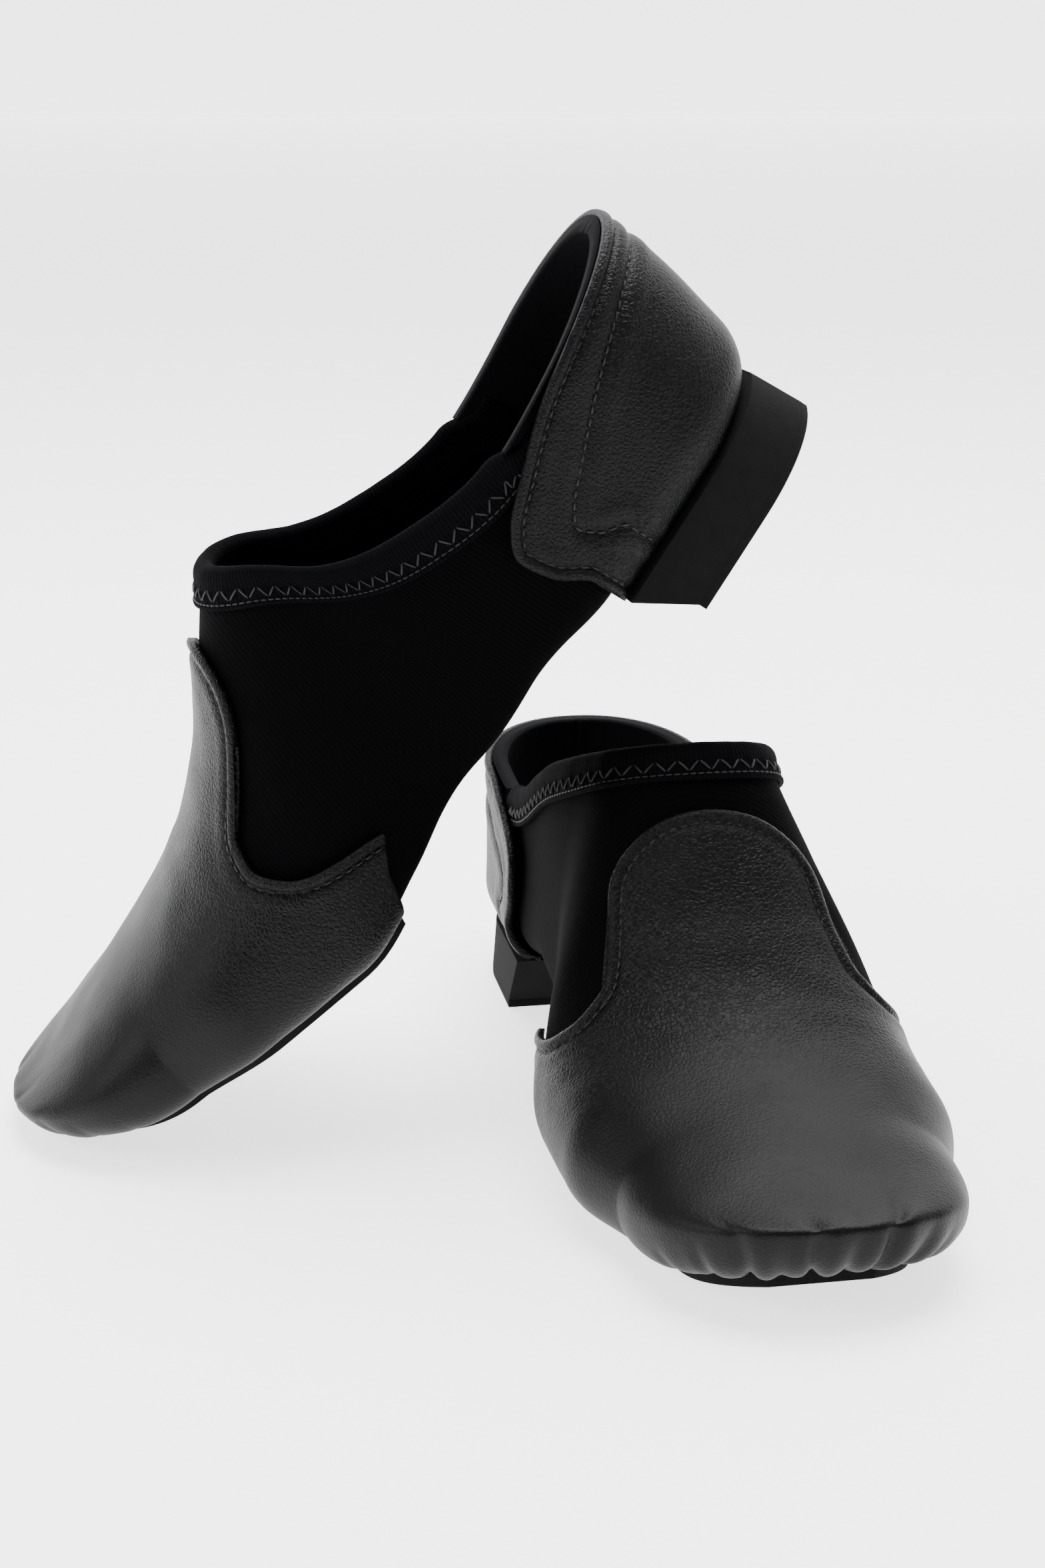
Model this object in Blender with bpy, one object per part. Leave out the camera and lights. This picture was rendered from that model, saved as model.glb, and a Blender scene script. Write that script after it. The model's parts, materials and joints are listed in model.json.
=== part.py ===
"""A pair of slip-on jazz shoes: leather vamp and heel quarter, stretch sleeve, knitted collar, split sole.

Each shoe is drawn as a right shoe in its own frame: X from heel to toe, Y towards the inner side of the foot,
Z up from the floor. The left shoe is the mirror image. Sizes are in millimetres; MM turns them into metres.

Every layer of the upper follows one surface, the last. A place on the last is given in plan coordinates
(a, b): a runs along the shoe, b across it, and the distance from the centre line is unrolled, so that 0 is the
ridge of the foot, one half width is the edge of the sole, and anything beyond lies under the shoe.
"""

import math

import bmesh
import bpy
from mathutils import Matrix, Vector

MM = 0.001

# Driving sizes of the last
SHOE_LENGTH = 250.0
HEEL_REACH = 30.0
TOE_REACH = 38.0
HEEL_HALF_WIDTH = 28.5
INNER_WAIST_HALF_WIDTH = 32.0
OUTER_WAIST_HALF_WIDTH = 30.0
INNER_BALL_HALF_WIDTH = 44.5
OUTER_BALL_HALF_WIDTH = 42.0
TOE_HALF_WIDTH = 36.0
TOE_HEIGHT = 26.8
TOE_CROWN = 1.0
BALL_HEIGHT = 44.0
INSTEP_HEIGHT = 92.0
HEEL_COLLAR_HEIGHT = 66.5
SIDE_COLLAR_HEIGHT = 60.0
TOE_SPRING = 8.0
ARCH_RISE = 8.0
HEEL_LEAN = 8.0
TOE_SWING = 3.0
EDGE_DROP = 9.0
EDGE_TUCK = 7.0

# Sole, heel and insole
HEEL_HEIGHT = 15.5
WEAR_LAYER = 2.0
HEEL_SLANT = 8.0
SOLE_THICKNESS = 2.6
SOLE_INSET = 7.0
BOARD_THICKNESS = 1.2
PAD_THICKNESS = 3.0
CLEARANCE = 0.5
FLOOR_GAP = 0.4
SOLE_GAP = 0.8

# Layers of the upper, as depths outwards from the last
LINING = (-2.8, -1.9)
SLEEVE = (-2.9, -0.9)
BINDING = (-4.9, -3.9, -0.1, 0.9)
STIFFENER = (-0.5, 0.4)
VAMP = (0.1, 1.3)
QUARTER = (1.5, 2.7)

# Places along the shoe, as shares of its length
WAIST = 0.46
WING = 0.56
THROAT = 0.536
TONGUE = 0.584
BALL = 0.76
COLLAR_SIDE = 0.20
HEEL_FRONT = 0.245
QUARTER_FRONT = 0.255
SLEEVE_BACK = 0.20
SLEEVE_FRONT = 0.74
SOLE_BACK = 0.60
FLEX = 0.40
FLEX_BACK = 0.30
FLEX_FRONT = 0.52

# Turned-in margins and the collar band
MARGIN = 15.0
MARGIN_ROWS = 0.3
ROWS = 10
BAND_DEPTH = 8.0
SLEEVE_DROP = 2.2
STIFFENER_HEIGHT = 32.0
EDGE_LENGTH = 12.6

# How far the insole pieces stop short of the last's edge
FRONT_BOARD_INSET = 11.0
FRONT_PAD_INSET = 10.5
HEEL_BOARD_INSET = 11.5
HEEL_PAD_INSET = 8.5

# How the pair stands
FLAT_TURN = -79.6
FLAT_PLACE = (16.0, -170.0)
RAISED_PLACE = (83.4, -265.7)
RAISED_TURN = 192.3
RAISED_PITCH = 38.4
RAISED_ROLL = -0.7
RAISED_FLEX = 18.0


def along(share):
    """The distance from the back of the heel at a share of the shoe's length."""
    return share * SHOE_LENGTH


TOE_CENTRE = SHOE_LENGTH - TOE_REACH
FLEX_HEIGHT = HEEL_HEIGHT + 2.0


def ease(value):
    """0 below 0, 1 above 1 and an S curve between."""
    value = min(max(value, 0.0), 1.0)
    return value * value * (3.0 - 2.0 * value)


class Curve:
    """A smooth curve through a few (place, value) pairs that never overshoots them."""

    def __init__(self, *pairs):
        self.x = [pair[0] for pair in pairs]
        self.y = [pair[1] for pair in pairs]
        steps = [b - a for a, b in zip(self.x, self.x[1:])]
        rises = [(b - a) / step for a, b, step in zip(self.y, self.y[1:], steps)]
        self.slopes = [rises[0]]
        for before, after in zip(rises, rises[1:]):
            level = before * after <= 0.0
            self.slopes.append(0.0 if level else 2.0 * before * after / (before + after))
        self.slopes.append(rises[-1])

    def __call__(self, x):
        x = min(max(x, self.x[0]), self.x[-1])
        i = max(k for k in range(len(self.x) - 1) if self.x[k] <= x)
        step = self.x[i + 1] - self.x[i]
        t = (x - self.x[i]) / step
        near = (1.0 + 2.0 * t) * (1.0 - t) ** 2 * self.y[i] + t * t * (3.0 - 2.0 * t) * self.y[i + 1]
        return near + step * t * (1.0 - t) * ((1.0 - t) * self.slopes[i] - t * self.slopes[i + 1])


def mix(first, second, share):
    """The point at a share of the way between two plan points or two numbers."""
    if isinstance(first, tuple):
        return tuple(mix(a, b, share) for a, b in zip(first, second))
    return first + (second - first) * share


HEEL_SEAT = HEEL_HEIGHT + FLOOR_GAP + QUARTER[1]
FRONT_SEAT = SOLE_THICKNESS + SOLE_GAP + VAMP[1]
INNER_WIDTH = Curve(
    (HEEL_REACH, HEEL_HALF_WIDTH),
    (along(WAIST), INNER_WAIST_HALF_WIDTH),
    (along(0.64), INNER_BALL_HALF_WIDTH),
    (along(BALL), INNER_BALL_HALF_WIDTH - 0.5),
    (TOE_CENTRE, TOE_HALF_WIDTH + 1.0),
)
OUTER_WIDTH = Curve(
    (HEEL_REACH, HEEL_HALF_WIDTH),
    (along(WAIST), OUTER_WAIST_HALF_WIDTH),
    (along(0.64), OUTER_BALL_HALF_WIDTH - 0.5),
    (along(BALL), OUTER_BALL_HALF_WIDTH),
    (TOE_CENTRE, TOE_HALF_WIDTH - 1.0),
)
RIDGE = Curve(
    (0.0, INSTEP_HEIGHT + 60.0),
    (along(0.30), INSTEP_HEIGHT + 56.0),
    (along(WAIST), INSTEP_HEIGHT + 20.0),
    (along(THROAT), INSTEP_HEIGHT),
    (along(0.592), INSTEP_HEIGHT - 16.0),
    (along(0.64), BALL_HEIGHT + 17.0),
    (along(0.72), BALL_HEIGHT),
    (along(0.82), mix(TOE_HEIGHT, BALL_HEIGHT, 0.36)),
    (along(0.912), TOE_HEIGHT),
    (SHOE_LENGTH, FRONT_SEAT + TOE_SPRING + EDGE_DROP + TOE_CROWN),
)
UNDERSIDE = Curve(
    (0.0, HEEL_SEAT),
    (along(HEEL_FRONT), HEEL_SEAT),
    (along(0.36), HEEL_SEAT + 0.6 * ARCH_RISE),
    (along(0.45), HEEL_SEAT + 0.3 * ARCH_RISE),
    (along(0.56), 0.5 * (HEEL_SEAT + FRONT_SEAT)),
    (along(0.66), FRONT_SEAT),
    (along(0.86), FRONT_SEAT),
    (SHOE_LENGTH, FRONT_SEAT + TOE_SPRING),
)
TOPLINE = Curve(
    (-HEEL_LEAN, HEEL_COLLAR_HEIGHT),
    (0.0, HEEL_COLLAR_HEIGHT - 1.5),
    (along(COLLAR_SIDE), SIDE_COLLAR_HEIGHT),
    (along(0.40), SIDE_COLLAR_HEIGHT + 0.6 * (INSTEP_HEIGHT - SIDE_COLLAR_HEIGHT)),
    (along(THROAT), INSTEP_HEIGHT),
)


def centre_and_reach(a, b):
    """(centre, direction, half width) of the section that passes through a plan point."""
    centre = min(max(a, HEEL_REACH), TOE_CENTRE)
    away = Vector((a - centre, b))
    direction = away.normalized() if away.length > 1e-9 else Vector((0.0, 1.0))
    width = (INNER_WIDTH if b >= 0.0 else OUTER_WIDTH)(centre)
    reach = TOE_REACH if a > centre else HEEL_REACH
    power = 2.2
    span = abs(direction.x / reach) ** power + abs(direction.y / width) ** power
    return centre, direction, span ** (-1.0 / power)


def roundness(centre):
    """The power of the section's superellipse: fuller at the heel and toe than over the instep."""
    shoulder = ease((centre - along(0.26)) / along(0.30)) - ease((centre - along(0.62)) / along(0.16))
    return 2.3 - 0.3 * shoulder


def on_last(a, b):
    """The point of the last at plan coordinates (a, b)."""
    centre, direction, width = centre_and_reach(a, b)
    share = math.hypot(a - centre, b) / width
    power = 2.0 / roundness(centre)
    turn = min(1.0 - share, 1.0) * math.pi / 2.0
    out = width * math.cos(max(turn, 0.0)) ** power
    under = max(share - 1.0, 0.0) * width
    roll = min(under / EDGE_LENGTH, 1.0) * math.pi / 2.0
    out -= EDGE_TUCK * (1.0 - math.cos(roll)) + max(under - EDGE_LENGTH, 0.0)
    x = centre + out * direction.x
    y = out * direction.y
    bottom = UNDERSIDE(x)
    z = bottom + EDGE_DROP * (1.0 - math.sin(roll))
    if share < 1.0:
        z += math.sin(turn) ** power * (RIDGE(x) - z)
    back = max(1.0 - x / (HEEL_REACH + 10.0), 0.0) ** 2
    x -= back * HEEL_LEAN * math.sin(min(max((z - HEEL_SEAT) / 50.0, 0.0), 1.0) * math.pi / 2.0)
    y += TOE_SWING * max((x - along(0.48)) / along(0.52), 0.0) ** 2
    return Vector((x, y, z))


def along_and_across(a, b):
    """How the point moves for a step of 1 mm in a and in b."""
    step = 0.1
    run = (on_last(a + step, b) - on_last(a - step, b)) / (2.0 * step)
    cross = (on_last(a, b + step) - on_last(a, b - step)) / (2.0 * step)
    return run, cross


def above_last(a, b, depth):
    """The point that stands the given depth outside the last."""
    run, cross = along_and_across(a, b)
    return on_last(a, b) + depth * run.cross(cross).normalized()


def walk(a, b, heading, distance):
    """The plan point reached by walking over the last for a distance in a direction in space."""
    legs = 4
    for _ in range(legs):
        run, cross = along_and_across(a, b)
        metric = Matrix(((run.dot(run), run.dot(cross)), (run.dot(cross), cross.dot(cross))))
        step = metric.inverted() @ Vector((run.dot(heading), cross.dot(heading)))
        pace = (run * step.x + cross * step.y).length
        a += step.x / pace * distance / legs
        b += step.y / pace * distance / legs
    return a, b


def share_at_height(centre, direction, width, height):
    """The share of the half width at which a section reaches a height."""
    power = roundness(centre) / 2.0
    share = 0.85
    for _ in range(4):
        x = centre + direction.x * width * math.cos((1.0 - share) * math.pi / 2.0) ** (1.0 / power)
        shoulder = UNDERSIDE(x) + EDGE_DROP
        rise = (height(x) - shoulder) / (RIDGE(x) - shoulder)
        share = 1.0 - math.asin(min(max(rise, 0.0), 1.0) ** power) / (math.pi / 2.0)
    return share


def station(place, side):
    """(centre, direction, half width) at a place along the edge of the sole, from the start of the sides.

    A negative place turns round the heel, and one past the toe centre turns round the toe.
    """
    straight = TOE_CENTRE - HEEL_REACH
    if place < 0.0:
        turn = -place / HEEL_REACH
        direction = Vector((-math.sin(turn), side * math.cos(turn)))
        centre = HEEL_REACH
    elif place > straight:
        turn = (place - straight) / TOE_REACH
        direction = Vector((math.sin(turn), side * math.cos(turn)))
        centre = TOE_CENTRE
    else:
        direction = Vector((0.0, side))
        centre = HEEL_REACH + place
    near = 1e-3
    return centre_and_reach(centre + direction.x * near, direction.y * near)


HEEL_END = -HEEL_REACH * math.pi / 2.0
TOE_END = TOE_CENTRE - HEEL_REACH + TOE_REACH * math.pi / 2.0


def section_plan(place, side, share):
    """The plan point at a share of the half width of a station."""
    centre, direction, width = station(place, side)
    return centre + direction.x * width * share, direction.y * width * share


def under_plan(place, side, distance):
    """The plan point at a distance under the edge of the sole."""
    width = station(place, side)[2]
    return section_plan(place, side, 1.0 + distance / width)


def height_plan(place, side, height):
    """The plan point at which a station reaches a height, given as a function of x."""
    centre, direction, width = station(place, side)
    share = share_at_height(centre, direction, width, height)
    return centre + direction.x * width * share, direction.y * width * share


# Making solids


class Body:
    """A rigid group of pieces: its empty stands on the arch joint, and it holds the shoe's side and bend."""

    def __init__(self, shoe, empty, side, bend):
        self.shoe = shoe
        self.empty = empty
        self.side = side
        self.bend = bend


def finish(piece, maker, body, material):
    """Turns a bmesh in the shoe's millimetres into a named object on its body's empty."""
    bmesh.ops.translate(maker, vec=(-along(FLEX), 0.0, -FLEX_HEIGHT), verts=maker.verts)
    bmesh.ops.scale(maker, vec=(MM, MM * body.side, MM), verts=maker.verts)
    if maker.calc_volume(signed=True) < 0.0:
        bmesh.ops.reverse_faces(maker, faces=maker.faces)
    name = body.shoe + "_" + piece
    mesh = bpy.data.meshes.new(name)
    maker.to_mesh(mesh)
    maker.free()
    mesh.shade_smooth()
    mesh.set_sharp_from_angle(angle=math.radians(40.0))
    mesh.materials.append(material)
    made = bpy.data.objects.new(name, mesh)
    bpy.context.collection.objects.link(made)
    made.parent = body.empty


def slab(columns, rows, place, seam=None):
    """A sheet with two skins. place(u, v, skin) puts each point: u and v run from 0 to 1, skin is 0 or 1.

    Where seam(u) holds, the edges v = 0 and v = 1 meet, and they are joined without a wall.
    """
    maker = bmesh.new()
    bmesh.ops.create_grid(maker, x_segments=columns, y_segments=rows, size=0.5)
    raised = bmesh.ops.extrude_face_region(maker, geom=maker.faces[:], use_keep_orig=True)
    top = [item for item in raised["geom"] if isinstance(item, bmesh.types.BMVert)]
    bmesh.ops.translate(maker, vec=(0.0, 0.0, 1.0), verts=top)
    bmesh.ops.translate(maker, vec=(0.5, 0.5, 0.0), verts=maker.verts)
    bmesh.ops.recalc_face_normals(maker, faces=maker.faces)
    if seam:
        walls = [face for face in maker.faces if is_seam_wall(face, seam)]
        bmesh.ops.delete(maker, geom=walls, context="FACES_ONLY")
    for vert in maker.verts:
        vert.co = place(round(vert.co.x, 6), round(vert.co.y, 6), round(vert.co.z))
    if seam:
        bmesh.ops.remove_doubles(maker, verts=maker.verts, dist=1e-4)
    return maker


def is_seam_wall(face, seam):
    """Whether a face is a wall at v = 0 or v = 1 along the joined stretch."""
    heights = {round(vert.co.y, 6) for vert in face.verts}
    return heights <= {0.0} and all(seam(vert.co.x) for vert in face.verts) or (
        heights <= {1.0} and all(seam(vert.co.x) for vert in face.verts)
    )


def bent(point, angle):
    """Bends the back of the shoe about the arch, as the soft sleeve bends between the two soles."""
    share = ease((along(FLEX_FRONT) - point.x) / (along(FLEX_FRONT) - along(FLEX_BACK)))
    pivot = Vector((along(FLEX), 0.0, FLEX_HEIGHT))
    return pivot + Matrix.Rotation(math.radians(angle) * share, 3, "Y") @ (point - pivot)


def side_and_share(u):
    """u from 0 to 1 as (outer side or inner side, share from the middle of the row to its end)."""
    swing = 2.0 * u - 1.0
    return (1.0 if swing >= 0.0 else -1.0), abs(swing)


# The upper

# The vamp's top edge from the tongue's centre to the wing's corner, as (place along the shoe, share of width)
VAMP_EDGE_ALONG = Curve(
    (0.0, along(TONGUE) - 1.0),
    (0.14, along(TONGUE) - 3.0),
    (0.22, along(TONGUE) - 5.0),
    (0.28, along(TONGUE) - 2.0),
    (0.42, along(TONGUE) + 12.0),
    (0.52, along(TONGUE) + 20.0),
    (0.62, along(TONGUE) + 21.5),
    (0.72, along(TONGUE) + 17.5),
    (0.86, mix(along(TONGUE) + 17.5, along(WING), 0.5)),
    (1.0, along(WING)),
)
VAMP_EDGE_SHARE = Curve(
    (0.0, 0.0), (0.14, 0.22), (0.22, 0.35), (0.28, 0.39), (0.42, 0.41),
    (0.52, 0.47), (0.62, 0.58), (0.72, 0.71), (0.86, 0.85), (1.0, 0.96),
)


def vamp_edge(share, side):
    """The plan point on the vamp's top edge."""
    place = VAMP_EDGE_ALONG(share) - HEEL_REACH
    return section_plan(place, side, VAMP_EDGE_SHARE(share))


def cap(depths, margin, back, top_edge, tuck_back=0.0):
    """A point function for a panel round the toe, from its turned-in margin to its top edge."""

    def place(u, v, skin):
        side, share = side_and_share(u)
        edge = mix(TOE_END, back - HEEL_REACH, share)
        under = max(1.0 - v / MARGIN_ROWS, 0.0) * margin
        start = under_plan(edge + tuck_back * share * under / margin, side, under)
        climb = (max(v - MARGIN_ROWS, 0.0) / (1.0 - MARGIN_ROWS)) ** 1.3
        return above_last(*mix(start, top_edge(share, side), climb), depths[skin])

    return place


def make_vamp(body):
    """The leather toe cap with its wings and its tongue."""
    place = cap(VAMP, MARGIN, along(WING) + 5.0, vamp_edge, tuck_back=6.0)
    finish("vamp", slab(26, ROWS, place), body, leather("vamp_leather"))


def make_vamp_lining(body):
    """The textile lining in front of the sleeve."""
    front = along(SLEEVE_FRONT) + 1.5

    def back_edge(share, side):
        return section_plan(front - HEEL_REACH, side, 0.98 * share)

    place = cap(LINING, 0.6 * MARGIN, front + 1.0, back_edge)
    finish("vamp_lining", slab(16, ROWS, place), body, cloth("lining_cloth"))


def throat_below(drop):
    """Where a line that runs a drop below the topline crosses the ridge of the foot."""
    low, high = along(THROAT), along(TONGUE)
    for _ in range(30):
        middle = 0.5 * (low + high)
        above = RIDGE(middle) > TOPLINE(middle) - drop
        low, high = (middle, high) if above else (low, middle)
    return low


def make_sleeve(body):
    """The stretch tube round the instep and arch, open above the throat."""
    columns, rows, open_columns = 15, 28, 9
    reached = open_columns / columns
    edge_row, roll_row = 6.0 / 14.0, 3.0 / 14.0
    throat = throat_below(SLEEVE_DROP)

    def top_height(x):
        return TOPLINE(x) - SLEEVE_DROP

    def place(u, v, skin):
        side, climb = side_and_share(v)
        if u < reached:
            a = mix(along(SLEEVE_BACK), throat, 1.0 - (1.0 - u / reached) ** 2)
        else:
            a = mix(throat, along(SLEEVE_FRONT), (u - reached) / (1.0 - reached))
        width = station(a - HEEL_REACH, side)[2]
        deepest = EDGE_LENGTH + width - EDGE_TUCK
        if climb < edge_row:
            low = mix(deepest, EDGE_LENGTH, min(climb / roll_row, 1.0))
            under = low * min((edge_row - climb) / (edge_row - roll_row), 1.0)
            plan = under_plan(a - HEEL_REACH, side, under)
        else:
            top = height_plan(a - HEEL_REACH, side, top_height) if u < reached else (a, 0.0)
            edge = section_plan(a - HEEL_REACH, side, 1.0)
            plan = mix(edge, top, (climb - edge_row) / (1.0 - edge_row))
        return bent(above_last(*plan, SLEEVE[skin]), body.bend)

    maker = slab(columns, rows, place, seam=lambda u: u > reached - 1e-4)
    finish("stretch_sleeve", maker, body, cloth("stretch_cloth"))


def collar_path(u):
    """The plan point on the topline, from the outer side round the throat to the inner side."""
    side, share = side_and_share(u)
    a = mix(along(THROAT), along(SLEEVE_BACK) + CLEARANCE, share**1.6)
    return height_plan(a - HEEL_REACH, side, TOPLINE)


def make_binding(body):
    """The knitted band folded over the sleeve's top edge."""
    middle = 0.5 * (BINDING[1] + BINDING[2])
    radii = (BINDING[2] - middle, BINDING[3] - middle)
    legs = 0.25

    def place(u, v, skin):
        plan = collar_path(u)
        step = 0.004
        before, after = collar_path(max(u - step, 0.0)), collar_path(min(u + step, 1.0))
        tangent = on_last(*after) - on_last(*before)
        run, cross = along_and_across(*plan)
        down = tangent.cross(run.cross(cross)).normalized()
        turn = min(max((v - legs) / (1.0 - 2.0 * legs), 0.0), 1.0) * math.pi
        drop = BAND_DEPTH * max(1.0 - v / legs, 1.0 - (1.0 - v) / legs, 0.0)
        drop -= radii[skin] * math.sin(turn)
        heading = down if drop > 0.0 else -down
        plan = walk(*plan, heading, abs(drop)) if abs(drop) > 1e-6 else plan
        return bent(above_last(*plan, middle + radii[skin] * math.cos(turn)), body.bend)

    finish("collar_binding", slab(30, 8, place), body, cloth("binding_knit"))


def heel_wrap(depths, margin, front, top):
    """A point function for a panel round the heel, from its turned-in margin to its top edge."""

    def place(u, v, skin):
        side, share = side_and_share(u)
        climb = max(v - MARGIN_ROWS, 0.0) / (1.0 - MARGIN_ROWS)
        edge = mix(HEEL_END, front(climb) - HEEL_REACH, share)
        if v < MARGIN_ROWS:
            plan = under_plan(edge, side, margin * (1.0 - v / MARGIN_ROWS))
        else:
            plan = mix(section_plan(edge, side, 1.0), height_plan(edge, side, top), climb)
        return above_last(*plan, depths[skin])

    return place


def make_quarter(body):
    """The leather heel cover, whose front edge slopes back from the arch to the collar."""
    low = along(QUARTER_FRONT)
    high = along(COLLAR_SIDE) - 3.0
    front = Curve((0.0, low), (0.35, low + 2.0), (0.7, mix(low, high, 0.4)), (1.0, high))
    place = heel_wrap(QUARTER, MARGIN, front, TOPLINE)
    finish("heel_quarter", slab(18, ROWS, place), body, leather("quarter_leather"))


def make_stiffener(body):
    """The moulded counter between the quarter and the lining."""
    back = along(SLEEVE_BACK) - 4.0
    place = heel_wrap(STIFFENER, 0.4 * MARGIN, lambda climb: back, lambda x: HEEL_SEAT + STIFFENER_HEIGHT)
    finish("heel_stiffener", slab(12, ROWS, place), body, board("counter_board"))


def make_heel_lining(body):
    """The textile lining behind the sleeve."""
    back = along(SLEEVE_BACK) - 1.5
    place = heel_wrap(LINING, 0.6 * MARGIN, lambda climb: back, lambda x: TOPLINE(x) - CLEARANCE)
    finish("heel_lining", slab(14, ROWS, place), body, cloth("lining_cloth"))


# Soles, heel and insole


def half_width(x, side, inset):
    """The half width of a flat piece at x, set in from the edge of the last."""
    centre = min(max(x, HEEL_REACH), TOE_CENTRE)
    reach = (HEEL_REACH if x < centre else TOE_REACH) - inset
    round_off = max(1.0 - (abs(x - centre) / reach) ** 2.2, 0.0) ** (1.0 / 2.2)
    return ((INNER_WIDTH if side > 0.0 else OUTER_WIDTH)(centre) - inset) * round_off


def plate(rows, start, end, insets, heights, round_end):
    """A flat piece across the shoe. start, end, insets and heights are pairs: underside, top side."""

    def place(u, v, skin):
        spread = math.sin(u * math.pi / 2.0) if round_end == "toe" else 1.0 - math.cos(u * math.pi / 2.0)
        x = mix(start[skin], end[skin], spread)
        inner, outer = (half_width(x, side, insets[skin]) for side in (1.0, -1.0))
        swing = TOE_SWING * max((x - along(0.48)) / along(0.52), 0.0) ** 2
        return Vector((x, mix(-outer, inner, v) + swing, heights[skin](x)))

    return slab(rows, 2, place)


BLUNT = 0.94


def heel_end(inset):
    """Where a flat piece that is set in from the edge stops, at the blunt back of the heel."""
    return HEEL_REACH - BLUNT * (HEEL_REACH - inset)


def toe_end(inset):
    """Where a flat piece that is set in from the edge stops, at the blunt front of the toe."""
    return TOE_CENTRE + BLUNT * (TOE_REACH - inset)


def make_heel_plate(body, piece, low, high, inset, material):
    """A board or pad on the heel seat, between two heights over the last's underside."""
    back = heel_end(inset)
    front = along(HEEL_FRONT)
    heights = (lambda x: UNDERSIDE(x) + low, lambda x: UNDERSIDE(x) + high)
    maker = plate(6, (back, back), (front, front), (inset, inset), heights, "heel")
    finish(piece, maker, body, material)


def make_front_plate(body, piece, low, high, inset, back, material):
    """A board, pad or sole patch under the forefoot, between two heights over the last's underside."""
    front = toe_end(inset)
    heights = (lambda x: UNDERSIDE(x) + low, lambda x: UNDERSIDE(x) + high)
    maker = plate(10, (back, back), (front, front), (inset, inset), heights, "toe")
    finish(piece, maker, body, material)


def make_heel_block(body):
    """The low heel with its slanted front, and the wear layer under it."""
    top_front = along(HEEL_FRONT)
    low_front = top_front - HEEL_SLANT
    flare = -1.0
    backs = (heel_end(flare), heel_end(0.0))
    joint = WEAR_LAYER + FLOOR_GAP
    block = plate(
        7, backs, (low_front, top_front), (flare, 0.0), (lambda x: joint, lambda x: HEEL_HEIGHT), "heel"
    )
    finish("heel_block", block, body, suede("heel_suede"))
    layer = plate(
        7, (backs[0],) * 2, (low_front,) * 2, (flare,) * 2, (lambda x: 0.0, lambda x: WEAR_LAYER), "heel"
    )
    finish("heel_wear_layer", layer, body, suede("heel_suede"))


# Materials


def finish_material(name, colour, roughness):
    """A named material, made once and used again."""
    found = bpy.data.materials.get(name)
    if found:
        return found
    made = bpy.data.materials.new(name)
    made.use_nodes = True
    shader = made.node_tree.nodes["Principled BSDF"]
    shader.inputs["Base Color"].default_value = (*colour, 1.0)
    shader.inputs["Roughness"].default_value = roughness
    shader.inputs["Metallic"].default_value = 0.0
    return made


def leather(name):
    return finish_material(name, (0.030, 0.030, 0.032), 0.45)


def cloth(name):
    return finish_material(name, (0.012, 0.012, 0.014), 0.90)


def suede(name):
    return finish_material(name, (0.010, 0.010, 0.010), 0.95)


def board(name):
    return finish_material(name, (0.10, 0.08, 0.06), 0.80)


def foam(name):
    return finish_material(name, (0.020, 0.020, 0.020), 0.85)


# The shoes


def add_empty(name, parent, location, rotation):
    """An empty that carries pieces, placed in its parent's frame."""
    empty = bpy.data.objects.new(name, None)
    bpy.context.collection.objects.link(empty)
    empty.parent = parent
    empty.location = location
    empty.rotation_euler = rotation
    return empty


def make_shoe(shoe, side, bend, place, turns):
    """One shoe on its own empty: place in millimetres, turns as roll, pitch and yaw in degrees."""
    root = add_empty(
        shoe + "_shoe", None, Vector((*place, 0.0)) * MM, [math.radians(turn) for turn in turns]
    )
    pivot = Vector((along(FLEX), 0.0, FLEX_HEIGHT)) * MM
    front_empty = add_empty(shoe + "_forefoot", root, pivot, (0.0, 0.0, 0.0))
    heel_empty = add_empty(shoe + "_heel", root, pivot, (0.0, math.radians(bend), 0.0))
    forefoot = Body(shoe, front_empty, side, bend)
    heel = Body(shoe, heel_empty, side, bend)
    inner = -SLEEVE[0] + CLEARANCE
    pad = inner + BOARD_THICKNESS + CLEARANCE
    make_vamp(forefoot)
    make_vamp_lining(forefoot)
    make_sleeve(forefoot)
    make_binding(forefoot)
    sole_top = -VAMP[1] - SOLE_GAP
    sole_back = along(SOLE_BACK)
    board_back = sole_back - 4.0
    make_front_plate(
        forefoot, "front_sole", sole_top - SOLE_THICKNESS, sole_top, SOLE_INSET, sole_back, suede("sole_suede")
    )
    front_board = board("insole_board")
    make_front_plate(
        forefoot, "forefoot_board", inner, inner + BOARD_THICKNESS, FRONT_BOARD_INSET, board_back, front_board
    )
    make_front_plate(
        forefoot, "forefoot_pad", pad, pad + PAD_THICKNESS, FRONT_PAD_INSET, board_back, foam("sock_foam")
    )
    make_quarter(heel)
    make_stiffener(heel)
    make_heel_lining(heel)
    make_heel_plate(heel, "heel_board", inner, inner + BOARD_THICKNESS, HEEL_BOARD_INSET, board("insole_board"))
    make_heel_plate(heel, "heel_pad", pad, pad + PAD_THICKNESS, HEEL_PAD_INSET, foam("sock_foam"))
    make_heel_block(heel)
    return root


def world_points(objects):
    """Every vertex of some objects, in the world."""
    bpy.context.view_layer.update()
    return [made.matrix_world @ vert.co for made in objects for vert in made.data.vertices]


def stand_on_floor(root):
    """Lifts or lowers a shoe until its lowest point is on the floor."""
    pieces = [made for made in root.children_recursive if made.type == "MESH"]
    root.location.z -= min(point.z for point in world_points(pieces))


def centre_pair(roots):
    """Moves both shoes so that the middle of their box is over the origin."""
    points = world_points([made for made in bpy.data.objects if made.type == "MESH"])
    for axis in (0, 1):
        values = [point[axis] for point in points]
        middle = 0.5 * (min(values) + max(values))
        for root in roots:
            root.location[axis] -= middle


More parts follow.
